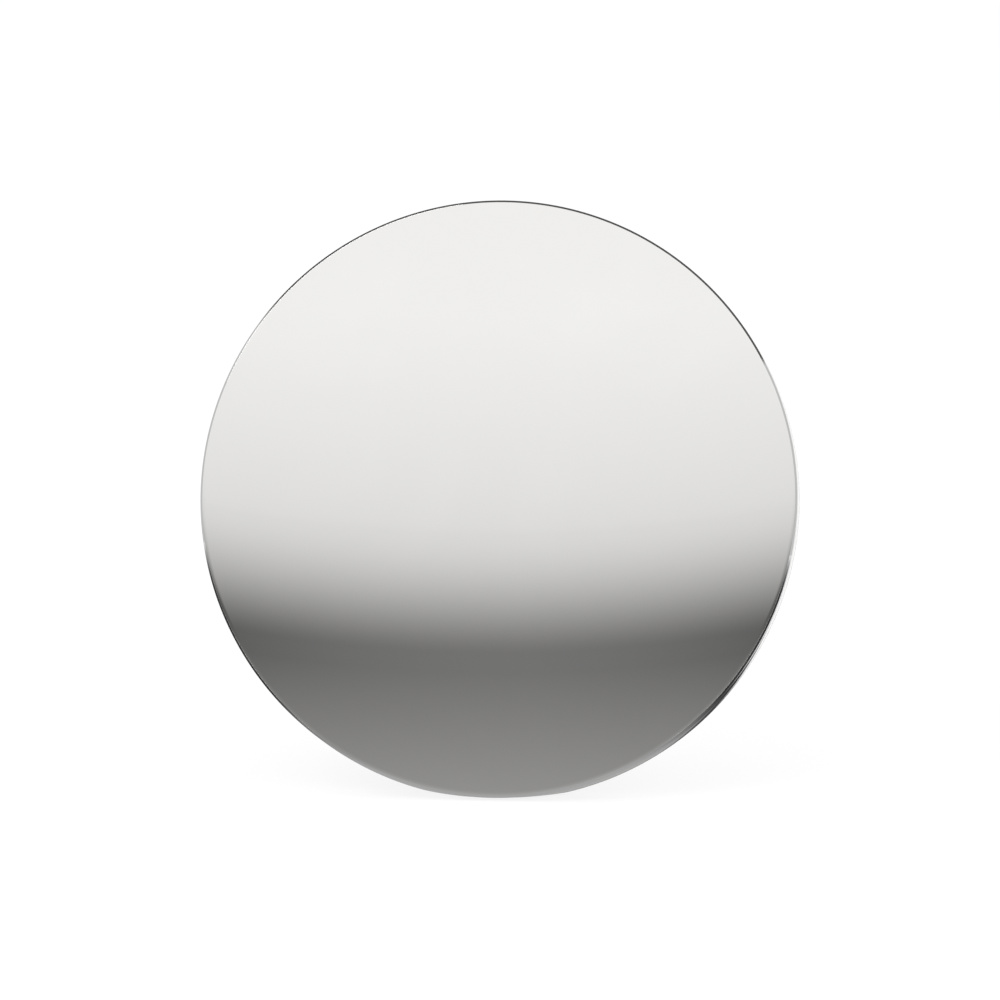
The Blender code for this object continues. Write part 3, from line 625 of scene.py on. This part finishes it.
def moulded(name, base, grains, depth, rough, swing):
    """Moulded plastic or rubber, made once under its name.

    Its fine grain is painted darker in the pits and lighter on the ridges, as painted shade and light, and
    its roughness is uneven where it is handled.
    """
    if name in bpy.data.materials:
        return bpy.data.materials[name]
    material, tree, sockets, place = blank(name, metallic=0.0)
    grain = shared(tree, grain_group, {"Vector": place, "Grains": grains, "Depth": depth})
    handled = {"Vector": place, "Size": MOULDED_PATCHES, "Least": 0.0, "Most": 1.0}
    patches = shared(tree, marks_group, handled)["Value"]
    # Painted shade and light: the grain's pits are painted darker and its ridges lighter, on top of the
    # real bumps, with faint handling patches mixed in
    mask = maths(tree, "ADD", grain["Grain"], remap(tree, patches, 0.0, 1.0, -MOULDED_WEAR, MOULDED_WEAR))
    feed(tree, sockets["Base Color"], toned(tree, base, mask, swing))
    feed(tree, sockets["Roughness"], remap(tree, patches, 0.0, 1.0, *rough))
    feed(tree, sockets["Normal"], grain["Normal"])
    return material


def head_steel(finish):
    return lined_metal("satin_steel_hinge", finish.steel, LEAN, LEVEL_LINES, **SATIN_LOOK)


def leg_steel(finish):
    return lined_metal("satin_steel_leg", finish.steel, LEG_LEAN, UPRIGHT_LINES, **SATIN_LOOK)


def rubbed_steel(finish):
    return lined_metal("satin_steel_rubbed", finish.rubbed, LEAN, ROUND_LINES, **RUBBED_LOOK)


def spring_steel(finish):
    return lined_metal("oiled_spring_steel", finish.spring, LEAN, UPRIGHT_LINES, **SPRING_LOOK)


def rubber(finish):
    return moulded("matt_rubber", finish.rubber, **RUBBER_LOOK)


# Operators


def settings(context):
    """The sizes and the colours that the scene holds."""
    return context.scene.mirror_shape, context.scene.mirror_finish


class COUNTER_MIRROR_OT_glass(bpy.types.Operator):
    """Round mirror glass with a polished chamfer and a ground rear edge"""

    bl_idname = "counter_mirror.glass"
    bl_label = "Mirror glass"

    def execute(self, context):
        shape, finish = settings(context)
        high = box_in("mirror_glass", DISC)[1]
        radius, thickness = high.x, high.y
        flat = radius - shape.chamfer - shape.roll
        rings = [
            (flat, 0.0),
            (flat + shape.roll / 2, 0.0),
            (radius - shape.chamfer, shape.roll_drop),
            (radius, shape.chamfer),
            (radius, thickness - shape.arris),
            (radius - shape.arris, thickness),
        ]
        disc = turned("glass_disc", rings, DISC_SIDES)
        chamfer = lined_metal("polished_chamfer", finish.glass_edge, LEAN, ROUND_LINES, **CHAMFER_LOOK)
        side = lined_metal("ground_glass_side", finish.glass_side, LEAN, ROUND_LINES, **SIDE_LOOK)
        paint(disc, silvered(finish.silver), chamfer, side)
        for face in disc.data.polygons:
            if face.center.y > shape.chamfer:
                face.material_index = SIDE_MATERIAL
            elif face.center.y > shape.roll_drop:
                face.material_index = EDGE_MATERIAL
        round_edges(disc, shape.crisp)
        seat(disc, DISC)
        smooth(disc, CRISP_ANGLE)
        dress(disc, "mirror_head", "silvered_glass", "mirror_glass")
        return {"FINISHED"}


class COUNTER_MIRROR_OT_band(bpy.types.Operator):
    """Polished steel band round the side of the body"""

    bl_idname = "counter_mirror.band"
    bl_label = "Side band"

    def execute(self, context):
        shape, finish = settings(context)
        low, high = box_in("rim_band", DISC)
        inner = high.x - shape.band_sheet
        rings = [(inner, low.y), (high.x, low.y), (high.x, high.y), (inner, high.y), (inner, low.y)]
        band = turned("steel_band", rings, DISC_SIDES)
        paint(band, lined_metal("polished_steel_band", finish.band, LEAN, ROUND_LINES, **BAND_LOOK))
        round_edges(band, shape.band_round, BODY_STEPS)
        seat(band, DISC)
        cut_below(band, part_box("rim_band")[0].z)
        smooth(band)
        dress(band, "mirror_head", "polished_band", "rim_band")
        return {"FINISHED"}


class COUNTER_MIRROR_OT_shell(bpy.types.Operator):
    """Moulded body behind the glass, with a raised edge ring and a flat sole"""

    bl_idname = "counter_mirror.shell"
    bl_label = "Moulded body"

    def execute(self, context):
        shape, finish = settings(context)
        low, high = box_in("rear_housing", DISC)
        band_high = box_in("rim_band", DISC)[1]
        front, back, flange = low.y, high.y, high.x
        body = band_high.x - shape.band_sheet - shape.gap
        panel = back - shape.step
        inside = panel - shape.rear_wall
        ledge = front + shape.ledge
        step = band_high.x - shape.edge_ring
        corner = (flange - shape.rear_round, back - shape.rear_round)
        rings = [
            (body - shape.rim_width, inside),
            (body - shape.rim_width, ledge),
            (body - shape.lip_width, ledge),
            (body - shape.lip_width, front),
            (body, front),
            (body, band_high.y + shape.gap),
            (flange, band_high.y + shape.gap),
            *arc(corner, shape.rear_round, 0, 90, CORNER_STEPS),
            (step, back),
            (step - shape.step_slope, panel),
        ]
        shell = turned("back_shell", rings, DISC_SIDES)
        paint(shell, moulded("black_moulding_grain", finish.moulding, **MOULDING_LOOK))
        round_edges(shell, shape.step_round, BODY_STEPS)
        seat(shell, DISC)
        cut_below(shell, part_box("rim_band")[0].z)
        carve(shell, rubber_strip("strip_recess", shape, shape.gap))
        smooth(shell)
        dress(shell, "mirror_head", "black_moulding", "rear_housing")
        return {"FINISHED"}


class COUNTER_MIRROR_OT_bonding(bpy.types.Operator):
    """Finishes of the film and tape between the glass and the body, and of the plate inside"""

    bl_idname = "counter_mirror.bonding"
    bl_label = "Film, tape and inner plate"

    def execute(self, context):
        finish = context.scene.mirror_finish
        foam = moulded("bonding_foam", finish.foam, **FOAM_LOOK)
        film = moulded("safety_film", finish.film, **FILM_LOOK)
        wearers = {
            foam: ["glass_tape_1", "glass_tape_2", "glass_tape_3", "glass_tape_4", "hub_tape"],
            film: ["safety_backing"],
            head_steel(finish): ["hinge_plate"],
        }
        for material, nodes in wearers.items():
            for node in nodes:
                frame["nodes"][node].material_slots[0].material = material
        return {"FINISHED"}


class COUNTER_MIRROR_OT_bracket(bpy.types.Operator):
    """Pressed steel bracket with two ears"""

    bl_idname = "counter_mirror.bracket"
    bl_label = "Hinge bracket"

    def execute(self, context):
        shape, finish = settings(context)
        bracket = traced("hinge_bracket", "pressed_bracket")
        paint(bracket, head_steel(finish), rubbed_steel(finish))
        round_edges(bracket, shape.sheet_round, material=EDGE_MATERIAL)
        smooth(bracket)
        flatten_shading(bracket)
        dress(bracket, "mirror_head", "satin_steel", "hinge_bracket")
        return {"FINISHED"}


def button_screw(shape, head_radius, head_height, shank):
    """A button-head screw with a hexagon socket. Its head sits on Y = 0 and its shank runs down -Y."""
    dome = []
    for step in range(DOME_STEPS + 1):
        turn = pi / 2 * step / DOME_STEPS
        across = shape.screw_crown + (head_radius - shape.screw_crown) * cos(turn)
        dome.append((across, shape.screw_rim + (head_height - shape.screw_rim) * sin(turn)))
    tip = shape.screw_shank - shape.pin_chamfer
    rings = [
        (tip, -shank),
        (shape.screw_shank, -shank + shape.pin_chamfer),
        (shape.screw_shank, 0.0),
        (head_radius, 0.0),
        *dome,
    ]
    screw = turned("button_screw", rings, SMALL_SIDES)
    bpy.ops.object.select_all(action="DESELECT")
    bpy.ops.mesh.primitive_cylinder_add(
        vertices=SOCKET_SIDES,
        radius=shape.socket,
        depth=2 * shape.socket_depth,
        location=(0.0, head_height, 0.0),
        rotation=(pi / 2, 0.0, 0.0),
    )
    carve(screw, named("socket"))
    round_edges(screw, shape.small_round)
    smooth(screw)
    return screw


class COUNTER_MIRROR_OT_screws(bpy.types.Operator):
    """Four button-head screws that hold the bracket"""

    bl_idname = "counter_mirror.screws"
    bl_label = "Bracket screws"

    def execute(self, context):
        shape, finish = settings(context)
        seating = box_in("hinge_bracket", HINGE)[0].y + shape.bracket_sheet + shape.gap
        low, high = box_in("bracket_screw_1", HINGE)
        pattern = button_screw(shape, (high.x - low.x) / 2, high.y - seating, seating - low.y)
        paint(pattern, lined_metal("plated_screw_steel", finish.screw, LEAN, ROUND_LINES, **SCREW_LOOK))
        for number in range(1, SCREWS + 1):
            node = f"bracket_screw_{number}"
            low, high = box_in(node, HINGE)
            screw = pattern.copy()
            screw.data = pattern.data.copy()
            screw.name = f"button_screw_{number}"
            screw.data.name = screw.name
            bpy.context.collection.objects.link(screw)
            middle = (low + high) / 2
            seat(screw, HINGE @ Matrix.Translation((middle.x, seating, middle.z)))
            dress(screw, "mirror_head", "satin_steel", node)
        bpy.data.objects.remove(pattern, do_unlink=True)
        return {"FINISHED"}


class COUNTER_MIRROR_OT_pin_set(bpy.types.Operator):
    """Hinge pin with its conical washers and clips"""

    bl_idname = "counter_mirror.pin_set"
    bl_label = "Pin, washers and clips"

    def execute(self, context):
        shape, finish = settings(context)
        self.pin(shape, finish)
        for name, side in SIDES.items():
            self.washer(shape, finish, name, side)
            self.clip(shape, finish, name)
        return {"FINISHED"}

    def pin(self, shape, finish):
        high = box_in("hinge_pin", HINGE)[1]
        clip_low, clip_high = box_in("pin_clip_right", HINGE)
        start, end = clip_low.x - shape.gap, clip_high.x + shape.gap
        radius = high.y
        neck = radius - shape.pin_groove
        half = [
            (radius, start),
            (neck, start),
            (neck, end),
            (radius, end),
            (radius, high.x - shape.pin_chamfer),
            (radius - shape.pin_chamfer, high.x),
        ]
        other = [(across, -along) for across, along in reversed(half)]
        place = HINGE @ along_pin(SIDES["right"])
        pin = small_part("steel_pin", other + half, shape, place, rubbed_steel(finish))
        dress(pin, "mirror_head", "satin_steel", "hinge_pin")

    def washer(self, shape, finish, name, side):
        low, high = box_in("disc_spring_right", HINGE)
        hole = box_in("hinge_pin", HINGE)[1].y + shape.gap
        rings = [
            (hole, high.x - shape.spring_sheet),
            (high.y, low.x),
            (high.y, low.x + shape.spring_sheet),
            (hole, high.x),
        ]
        place = HINGE @ along_pin(side)
        loop = rings + rings[:1]
        washer = small_part(f"conical_washer_{name}", loop, shape, place, spring_steel(finish))
        dress(washer, "mirror_head", "spring_steel", f"disc_spring_{name}")

    def clip(self, shape, finish, name):
        clip = traced(f"pin_clip_{name}", f"retaining_clip_{name}")
        paint(clip, spring_steel(finish))
        round_edges(clip, shape.small_round)
        smooth(clip)
        dress(clip, "mirror_head", "spring_steel", f"pin_clip_{name}")


class COUNTER_MIRROR_OT_bushes(bpy.types.Operator):
    """Flanged nylon bushes in the leg's ears"""

    bl_idname = "counter_mirror.bushes"
    bl_label = "Bushes"

    def execute(self, context):
        shape, finish = settings(context)
        low, high = box_in("leg_bush_right", LEG)
        hole = box_in("hinge_pin", HINGE)[1].y + shape.gap
        wall = hole + shape.bush_wall
        shoulder = high.x - shape.bush_flange
        rings = [
            (hole, low.x),
            (wall, low.x),
            (wall, shoulder),
            (high.y, shoulder),
            (high.y, high.x),
            (hole, high.x),
        ]
        material = moulded("turned_nylon", finish.nylon, **NYLON_LOOK)
        for name, side in SIDES.items():
            place = LEG @ along_pin(side)
            bush = small_part(f"nylon_bush_{name}", rings + rings[:1], shape, place, material)
            dress(bush, "leg", "nylon", f"leg_bush_{name}")
        return {"FINISHED"}


class COUNTER_MIRROR_OT_leg(bpy.types.Operator):
    """Pressed steel leg with turned-in flanges and a raised panel"""

    bl_idname = "counter_mirror.leg"
    bl_label = "Folding leg"

    def execute(self, context):
        shape, finish = settings(context)
        leg = traced("leg_plate", "pressed_leg")
        paint(leg, leg_steel(finish), rubbed_steel(finish))
        round_edges(leg, shape.sheet_round, limit=PRESSED_ANGLE, material=EDGE_MATERIAL)
        smooth(leg)
        flatten_shading(leg)
        dress(leg, "leg", "satin_steel", "leg_plate")
        return {"FINISHED"}


def is_upright(mesh, edge):
    first, second = (mesh.vertices[number].co for number in edge.vertices)
    return abs(first.z - second.z) > (first - second).length / 2


def rubber_strip(name, shape, margin):
    """The strip under the sole, or with a margin the recess that takes it."""
    low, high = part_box("sole_pad")
    reach = Vector((margin, margin, margin))
    strip = block(name, low - reach, high + reach)
    upright = [edge for edge in strip.data.edges if is_upright(strip.data, edge)]
    with picked(strip, edges=upright):
        bpy.ops.mesh.bevel(offset=shape.pad_corner + margin, segments=CORNER_STEPS, affect="EDGES")
    return strip


class COUNTER_MIRROR_OT_rubber(bpy.types.Operator):
    """Rubber foot, the strip under the sole, and the buttons that the folded leg lies on"""

    bl_idname = "counter_mirror.rubber"
    bl_label = "Rubber foot, strip and buttons"

    def execute(self, context):
        shape, finish = settings(context)
        self.foot(shape, finish)
        self.strip(shape, finish)
        for name in SIDES:
            self.button(shape, finish, name)
        return {"FINISHED"}

    def foot(self, shape, finish):
        low, high = box_in("leg_foot", LEG)
        foot = block("rubber_foot", low, high)
        down = LEG.to_3x3().inverted() @ DOWN
        cut_across(foot, LEG.inverted().translation, down, True)
        round_edges(foot, shape.foot_round, FOOT_STEPS)
        for number in range(1, shape.grooves + 1):
            self.groove(shape, foot, high.z - number * shape.groove_pitch)
        slot_low = Vector((low.x + shape.foot_end, (low.y + high.y - shape.foot_slot) / 2, 0.0))
        slot_high = Vector((high.x - shape.foot_end, (low.y + high.y + shape.foot_slot) / 2, 0.0))
        slot_low.z = box_in("leg_plate", LEG)[0].z - shape.gap
        slot_high.z = high.z + shape.foot_round
        carve(foot, block("foot_slot", slot_low, slot_high))
        paint(foot, rubber(finish))
        seat(foot, LEG)
        smooth(foot)
        dress(foot, "leg", "rubber", "leg_foot")

    def groove(self, shape, foot, top):
        """Sink a strip all round the foot."""
        bottom = top - shape.groove
        for level in (top, bottom):
            cut_across(foot, (0.0, 0.0, level), -DOWN, False)
        strip = [face for face in foot.data.polygons if bottom < face.center.z < top]
        sunk = {"value": -shape.groove_depth}
        with picked(foot, faces=strip):
            bpy.ops.mesh.extrude_region_shrink_fatten(TRANSFORM_OT_shrink_fatten=sunk)

    def strip(self, shape, finish):
        strip = rubber_strip("rubber_strip", shape, 0.0)
        paint(strip, rubber(finish))
        round_edges(strip, shape.pad_round)
        smooth(strip)
        dress(strip, "mirror_head", "rubber", "sole_pad")

    def button(self, shape, finish, name):
        low, high = box_in(f"fold_bumper_{name}", HINGE)
        radius = (high.x - low.x) / 2
        middle = (low + high) / 2
        corner = (radius - shape.bumper_round, high.y - shape.bumper_round)
        rings = [(radius, low.y), *arc(corner, shape.bumper_round, 0, 90, CORNER_STEPS)]
        place = HINGE @ Matrix.Translation((middle.x, 0.0, middle.z))
        button = small_part(f"rubber_button_{name}", rings, shape, place, rubber(finish))
        dress(button, "mirror_head", "rubber", f"fold_bumper_{name}")


# Studio

FLOOR_SIZE = 60.0
SENSOR = 36.0  # millimetres, as camera sensors are given
CARD_SIZE = 2.0  # a card reaches 1 to either side before it is scaled

# Place and size of each lamp
LAMPS = {
    "key": ((-1.0, -1.4, 1.7), 1.2),
    "fill": ((1.6, -0.8, 1.1), 1.2),
    "back": ((0.5, 1.8, 1.5), 1.4),
}

# Where each reflection card starts and ends fading out, across and up from its middle
GRADED_FADE = ((1.30, 1.90), (0.22, 0.42))
FLAG_FADE = ((1.40, 2.10), (0.60, 1.00))
MAT_FADE = ((1.10, 1.70), (0.45, 0.55))
SWEEP_FADE = ((3.00, 4.50), (4.20, 5.70))
SIDE_FADE = ((0.60, 0.90), (0.55, 0.62))

# Where the cards stand
GRADED_DISTANCE = 1.2
FLAG_PLACE = (0.2, 0.2, 1.2)
MAT_PLACE = (0.0, -0.30, 0.0008)
SWEEP_PLACE = (0.0, -6.20, 0.0006)
SIDE_PLACE = (1.5, -0.1, 0.55)

# Heights on the graded card, up from its middle
FOOT_RISE = (-0.225, -0.098)
DARK_RISE = (-0.087, -0.014)
DARK_EASE = 0.74
BRIGHT_RISE = (-0.020, 0.101)
BRIGHT_EASE = 0.7

# The graded card's tones bow up and darken to either side, by the square of the way across
BOW_LIMIT = 0.04
BOW_LIFT = 0.59
BOW_DARK = 2.7

# Where the mat's tones change, across from its middle and towards its front and rear. The drop towards its
# rear, behind the glass, is a painted shadow of the mirror on the floor, seen in reflections
MAT_INNER = (0.06, 0.19)
MAT_OUTER = (0.55, 1.45)
MAT_OUTER_TONE = 0.6
MAT_FRONT = (-0.50, 0.10)
MAT_FRONT_TONE = 0.94
MAT_PAINTED_SHADOW = (0.36, 0.42)
MAT_PAINTED_SHADOW_SHARE = 0.2

# Where the tones of the sheet in front change, from its middle
SWEEP_RISE = (-5.85, 3.00)


def seen_directly(tree):
    """1 for rays from the camera, from a reflection or through glass, and 0 for the light on things."""
    path = add(tree, "ShaderNodeLightPath")
    direct = maths(tree, "MAXIMUM", path["Is Camera Ray"], path["Is Glossy Ray"])
    return maths(tree, "MAXIMUM", direct, path["Is Transmission Ray"])


def bare_sheet(name, size):
    """A level sheet, and the empty node tree of its material."""
    bpy.ops.object.select_all(action="DESELECT")
    bpy.ops.mesh.primitive_plane_add(size=size)
    sheet = named(name)
    material = bpy.data.materials.new(name)
    material.use_nodes = True
    material.node_tree.nodes.clear()
    paint(sheet, material)
    return sheet, material.node_tree


def card(name, fade, place, tint):
    """A card that only shows in reflections. tint gives its tone from its tree and its coordinates."""
    fade_across, fade_up = fade
    item, tree = bare_sheet(name, CARD_SIZE)
    item.scale = (fade_across[1], fade_up[1], 1.0)
    bpy.ops.object.transform_apply(scale=True)
    item.matrix_world = place
    for way in ("camera", "diffuse", "transmission", "shadow"):
        setattr(item, f"visible_{way}", False)
    point = add(tree, "ShaderNodeTexCoord")["Object"]
    where = add(tree, "ShaderNodeSeparateXYZ", {0: point})
    across = faded(tree, where["X"], *fade_across)
    cover = maths(tree, "MULTIPLY", across, faded(tree, where["Y"], *fade_up))
    lit = add(tree, "ShaderNodeEmission", {"Strength": tint(tree, where)})[0]
    clear = add(tree, "ShaderNodeBsdfTransparent")[0]
    mixed = add(tree, "ShaderNodeMixShader", {0: cover, 1: clear, 2: lit})[0]
    add(tree, "ShaderNodeOutputMaterial", {"Surface": mixed})


def even(tone):
    """The tint of a card that has one tone."""
    return lambda tree, where: tone


def faded(tree, value, start, end):
    """1 up to start, easing to 0 at end, the same to either side of the middle."""
    across = maths(tree, "ABSOLUTE", value)
    return remap(tree, across, start, end, 1.0, 0.0, "SMOOTHSTEP")


class COUNTER_MIRROR_OT_studio(bpy.types.Operator):
    """Pale floor, soft light, reflection cards and the camera"""

    bl_idname = "counter_mirror.studio"
    bl_label = "Studio"

    def execute(self, context):
        studio = context.scene.mirror_studio
        context.scene.view_settings.view_transform = "Standard"
        self.floor(studio)
        self.world(context.scene, studio)
        self.lamps(studio)
        self.camera(context.scene, studio)
        self.cards(studio)
        return {"FINISHED"}

    def floor(self, studio):
        floor, tree = bare_sheet("floor", FLOOR_SIZE)
        matt = add(tree, "ShaderNodeBsdfDiffuse", {"Color": (*studio.floor, 1.0)})[0]
        share = studio.floor_shade
        shaded = add(tree, "ShaderNodeBsdfDiffuse", {"Color": (share, share, share, 1.0)})[0]
        glow = add(tree, "ShaderNodeEmission", {"Strength": 1.0 - share * studio.daylight})[0]
        white = add(tree, "ShaderNodeAddShader", {0: shaded, 1: glow})[0]
        mixed = add(tree, "ShaderNodeMixShader", {0: seen_directly(tree), 1: matt, 2: white})[0]
        add(tree, "ShaderNodeOutputMaterial", {"Surface": mixed})

    def world(self, scene, studio):
        world = bpy.data.worlds.new("studio_world")
        world.use_nodes = True
        tree = world.node_tree
        back = tree.nodes["Background"].inputs
        back["Color"].default_value = (1.0, 1.0, 1.0, 1.0)
        feed(tree, back["Strength"], remap(tree, seen_directly(tree), 0.0, 1.0, studio.daylight, 1.0))
        scene.world = world

    def lamps(self, studio):
        for name, (place, size) in LAMPS.items():
            data = bpy.data.lights.new(f"{name}_lamp", "AREA")
            data.energy = getattr(studio, f"{name}_power")
            data.size = size
            lamp = bpy.data.objects.new(data.name, data)
            lamp.location = place
            aim = DISC.translation - Vector(place)
            lamp.rotation_euler = aim.to_track_quat("-Z", "Y").to_euler()
            bpy.context.collection.objects.link(lamp)

    def toward(self, studio):
        """The way from the disc to the camera."""
        side, height = studio.camera_side, studio.camera_height
        return Vector((sin(side) * cos(height), -cos(side) * cos(height), sin(height)))

    def camera(self, scene, studio):
        toward = self.toward(studio)
        aim = DISC @ Vector((0.0, studio.aim_depth, 0.0))
        data = bpy.data.cameras.new("camera")
        data.sensor_width = SENSOR
        data.lens = SENSOR * studio.camera_distance / studio.view_width
        camera = bpy.data.objects.new("camera", data)
        camera.location = aim + toward * studio.camera_distance
        camera.rotation_euler = (-toward).to_track_quat("-Z", "Y").to_euler()
        bpy.context.collection.objects.link(camera)
        scene.camera = camera

    def cards(self, studio):
        card("graded_card", GRADED_FADE, self.reflected(studio), partial(self.graded, studio))
        card("overhead_flag", FLAG_FADE, Matrix.Translation(FLAG_PLACE), even(studio.flag_tone))
        card("floor_mat", MAT_FADE, Matrix.Translation(MAT_PLACE), partial(self.mat, studio))
        card("floor_sweep", SWEEP_FADE, Matrix.Translation(SWEEP_PLACE), partial(self.sweep, studio))
        standing = Matrix.Rotation(pi / 2, 4, "Z") @ Matrix.Rotation(pi / 2, 4, "X")
        across, along, up = SIDE_PLACE
        for name, side in SIDES.items():
            place = Matrix.Translation((side * across, along, up)) @ standing
            card(f"side_card_{name}", SIDE_FADE, place, even(studio.wing_tone))

    def reflected(self, studio):
        """Square to the way the camera looks once the glass has turned it back."""
        ahead = -self.toward(studio)
        right = ahead.cross(-DOWN).normalized()
        up = right.cross(ahead)
        normal = DISC.to_3x3() @ Vector((0.0, -1.0, 0.0))
        axes = [axis - 2.0 * axis.dot(normal) * normal for axis in (right, up, ahead)]
        turn = Matrix(axes).transposed().to_4x4()
        return Matrix.Translation(DISC.translation + axes[2] * GRADED_DISTANCE) @ turn

    def graded(self, studio, tree, where):
        bow = maths(tree, "MINIMUM", maths(tree, "MULTIPLY", where["X"], where["X"]), BOW_LIMIT)
        rise = maths(tree, "SUBTRACT", where["Y"], maths(tree, "MULTIPLY", bow, BOW_LIFT))
        climb = maths(tree, "POWER", remap(tree, rise, *BRIGHT_RISE), BRIGHT_EASE)
        upper = remap(tree, climb, 0.0, 1.0, studio.card_middle, studio.card_high)
        dark = maths(tree, "SUBTRACT", studio.card_low, maths(tree, "MULTIPLY", bow, BOW_DARK))
        lower = remap(tree, rise, *FOOT_RISE, studio.card_foot, dark)
        share = maths(tree, "POWER", remap(tree, rise, *DARK_RISE, shape="SMOOTHSTEP"), DARK_EASE)
        return add(tree, "ShaderNodeMix", {0: share, 2: lower, 3: upper}, data_type="FLOAT")[0]

    def mat(self, studio, tree, where):
        across = maths(tree, "ABSOLUTE", where["X"])
        inner = remap(tree, across, *MAT_INNER, studio.mat_bright, studio.mat_dark, "SMOOTHSTEP")
        outer = remap(tree, across, *MAT_OUTER, 0.0, MAT_OUTER_TONE, "SMOOTHSTEP")
        # Painted shadow: behind the glass the mat is darkened to the shade that the mirror would cast on
        # the floor
        behind = remap(tree, where["Y"], *MAT_PAINTED_SHADOW, 1.0, MAT_PAINTED_SHADOW_SHARE, "SMOOTHSTEP")
        tone = maths(tree, "MULTIPLY", maths(tree, "ADD", inner, outer), behind)
        front = remap(tree, where["Y"], *MAT_FRONT, shape="SMOOTHSTEP")
        return remap(tree, front, 0.0, 1.0, MAT_FRONT_TONE, tone)

    def sweep(self, studio, tree, where):
        return remap(tree, where["Y"], *SWEEP_RISE, 1.0, studio.sweep_tone, "SMOOTHSTEP")


OPERATORS = (
    COUNTER_MIRROR_OT_glass,
    COUNTER_MIRROR_OT_band,
    COUNTER_MIRROR_OT_shell,
    COUNTER_MIRROR_OT_bonding,
    COUNTER_MIRROR_OT_bracket,
    COUNTER_MIRROR_OT_screws,
    COUNTER_MIRROR_OT_pin_set,
    COUNTER_MIRROR_OT_bushes,
    COUNTER_MIRROR_OT_leg,
    COUNTER_MIRROR_OT_rubber,
    COUNTER_MIRROR_OT_studio,
)
GROUPS = {"mirror_shape": MirrorShape, "mirror_finish": MirrorFinish, "mirror_studio": MirrorStudio}


class COUNTER_MIRROR_PT_sidebar(bpy.types.Panel):
    """Lists the mirror's operators and properties"""

    bl_idname = "COUNTER_MIRROR_PT_sidebar"
    bl_label = "Countertop Mirror"
    bl_space_type = "VIEW_3D"
    bl_region_type = "UI"
    bl_category = "Mirror"

    def draw(self, context):
        for operator in OPERATORS:
            self.layout.operator(operator.bl_idname)
        for pointer, kind in GROUPS.items():
            box = self.layout.box()
            for name in kind.__annotations__:
                box.prop(getattr(context.scene, pointer), name)


def register():
    for pointer, kind in GROUPS.items():
        bpy.utils.register_class(kind)
        setattr(bpy.types.Scene, pointer, PointerProperty(type=kind))
    for kind in (*OPERATORS, COUNTER_MIRROR_PT_sidebar):
        bpy.utils.register_class(kind)


def unregister():
    for kind in reversed((*OPERATORS, COUNTER_MIRROR_PT_sidebar)):
        bpy.utils.unregister_class(kind)
    for pointer, kind in GROUPS.items():
        delattr(bpy.types.Scene, pointer)
        bpy.utils.unregister_class(kind)


def main():
    register()
    for operator in OPERATORS:
        category, name = operator.bl_idname.split(".")
        getattr(getattr(bpy.ops, category), name)()


if __name__ == "__main__":
    main()
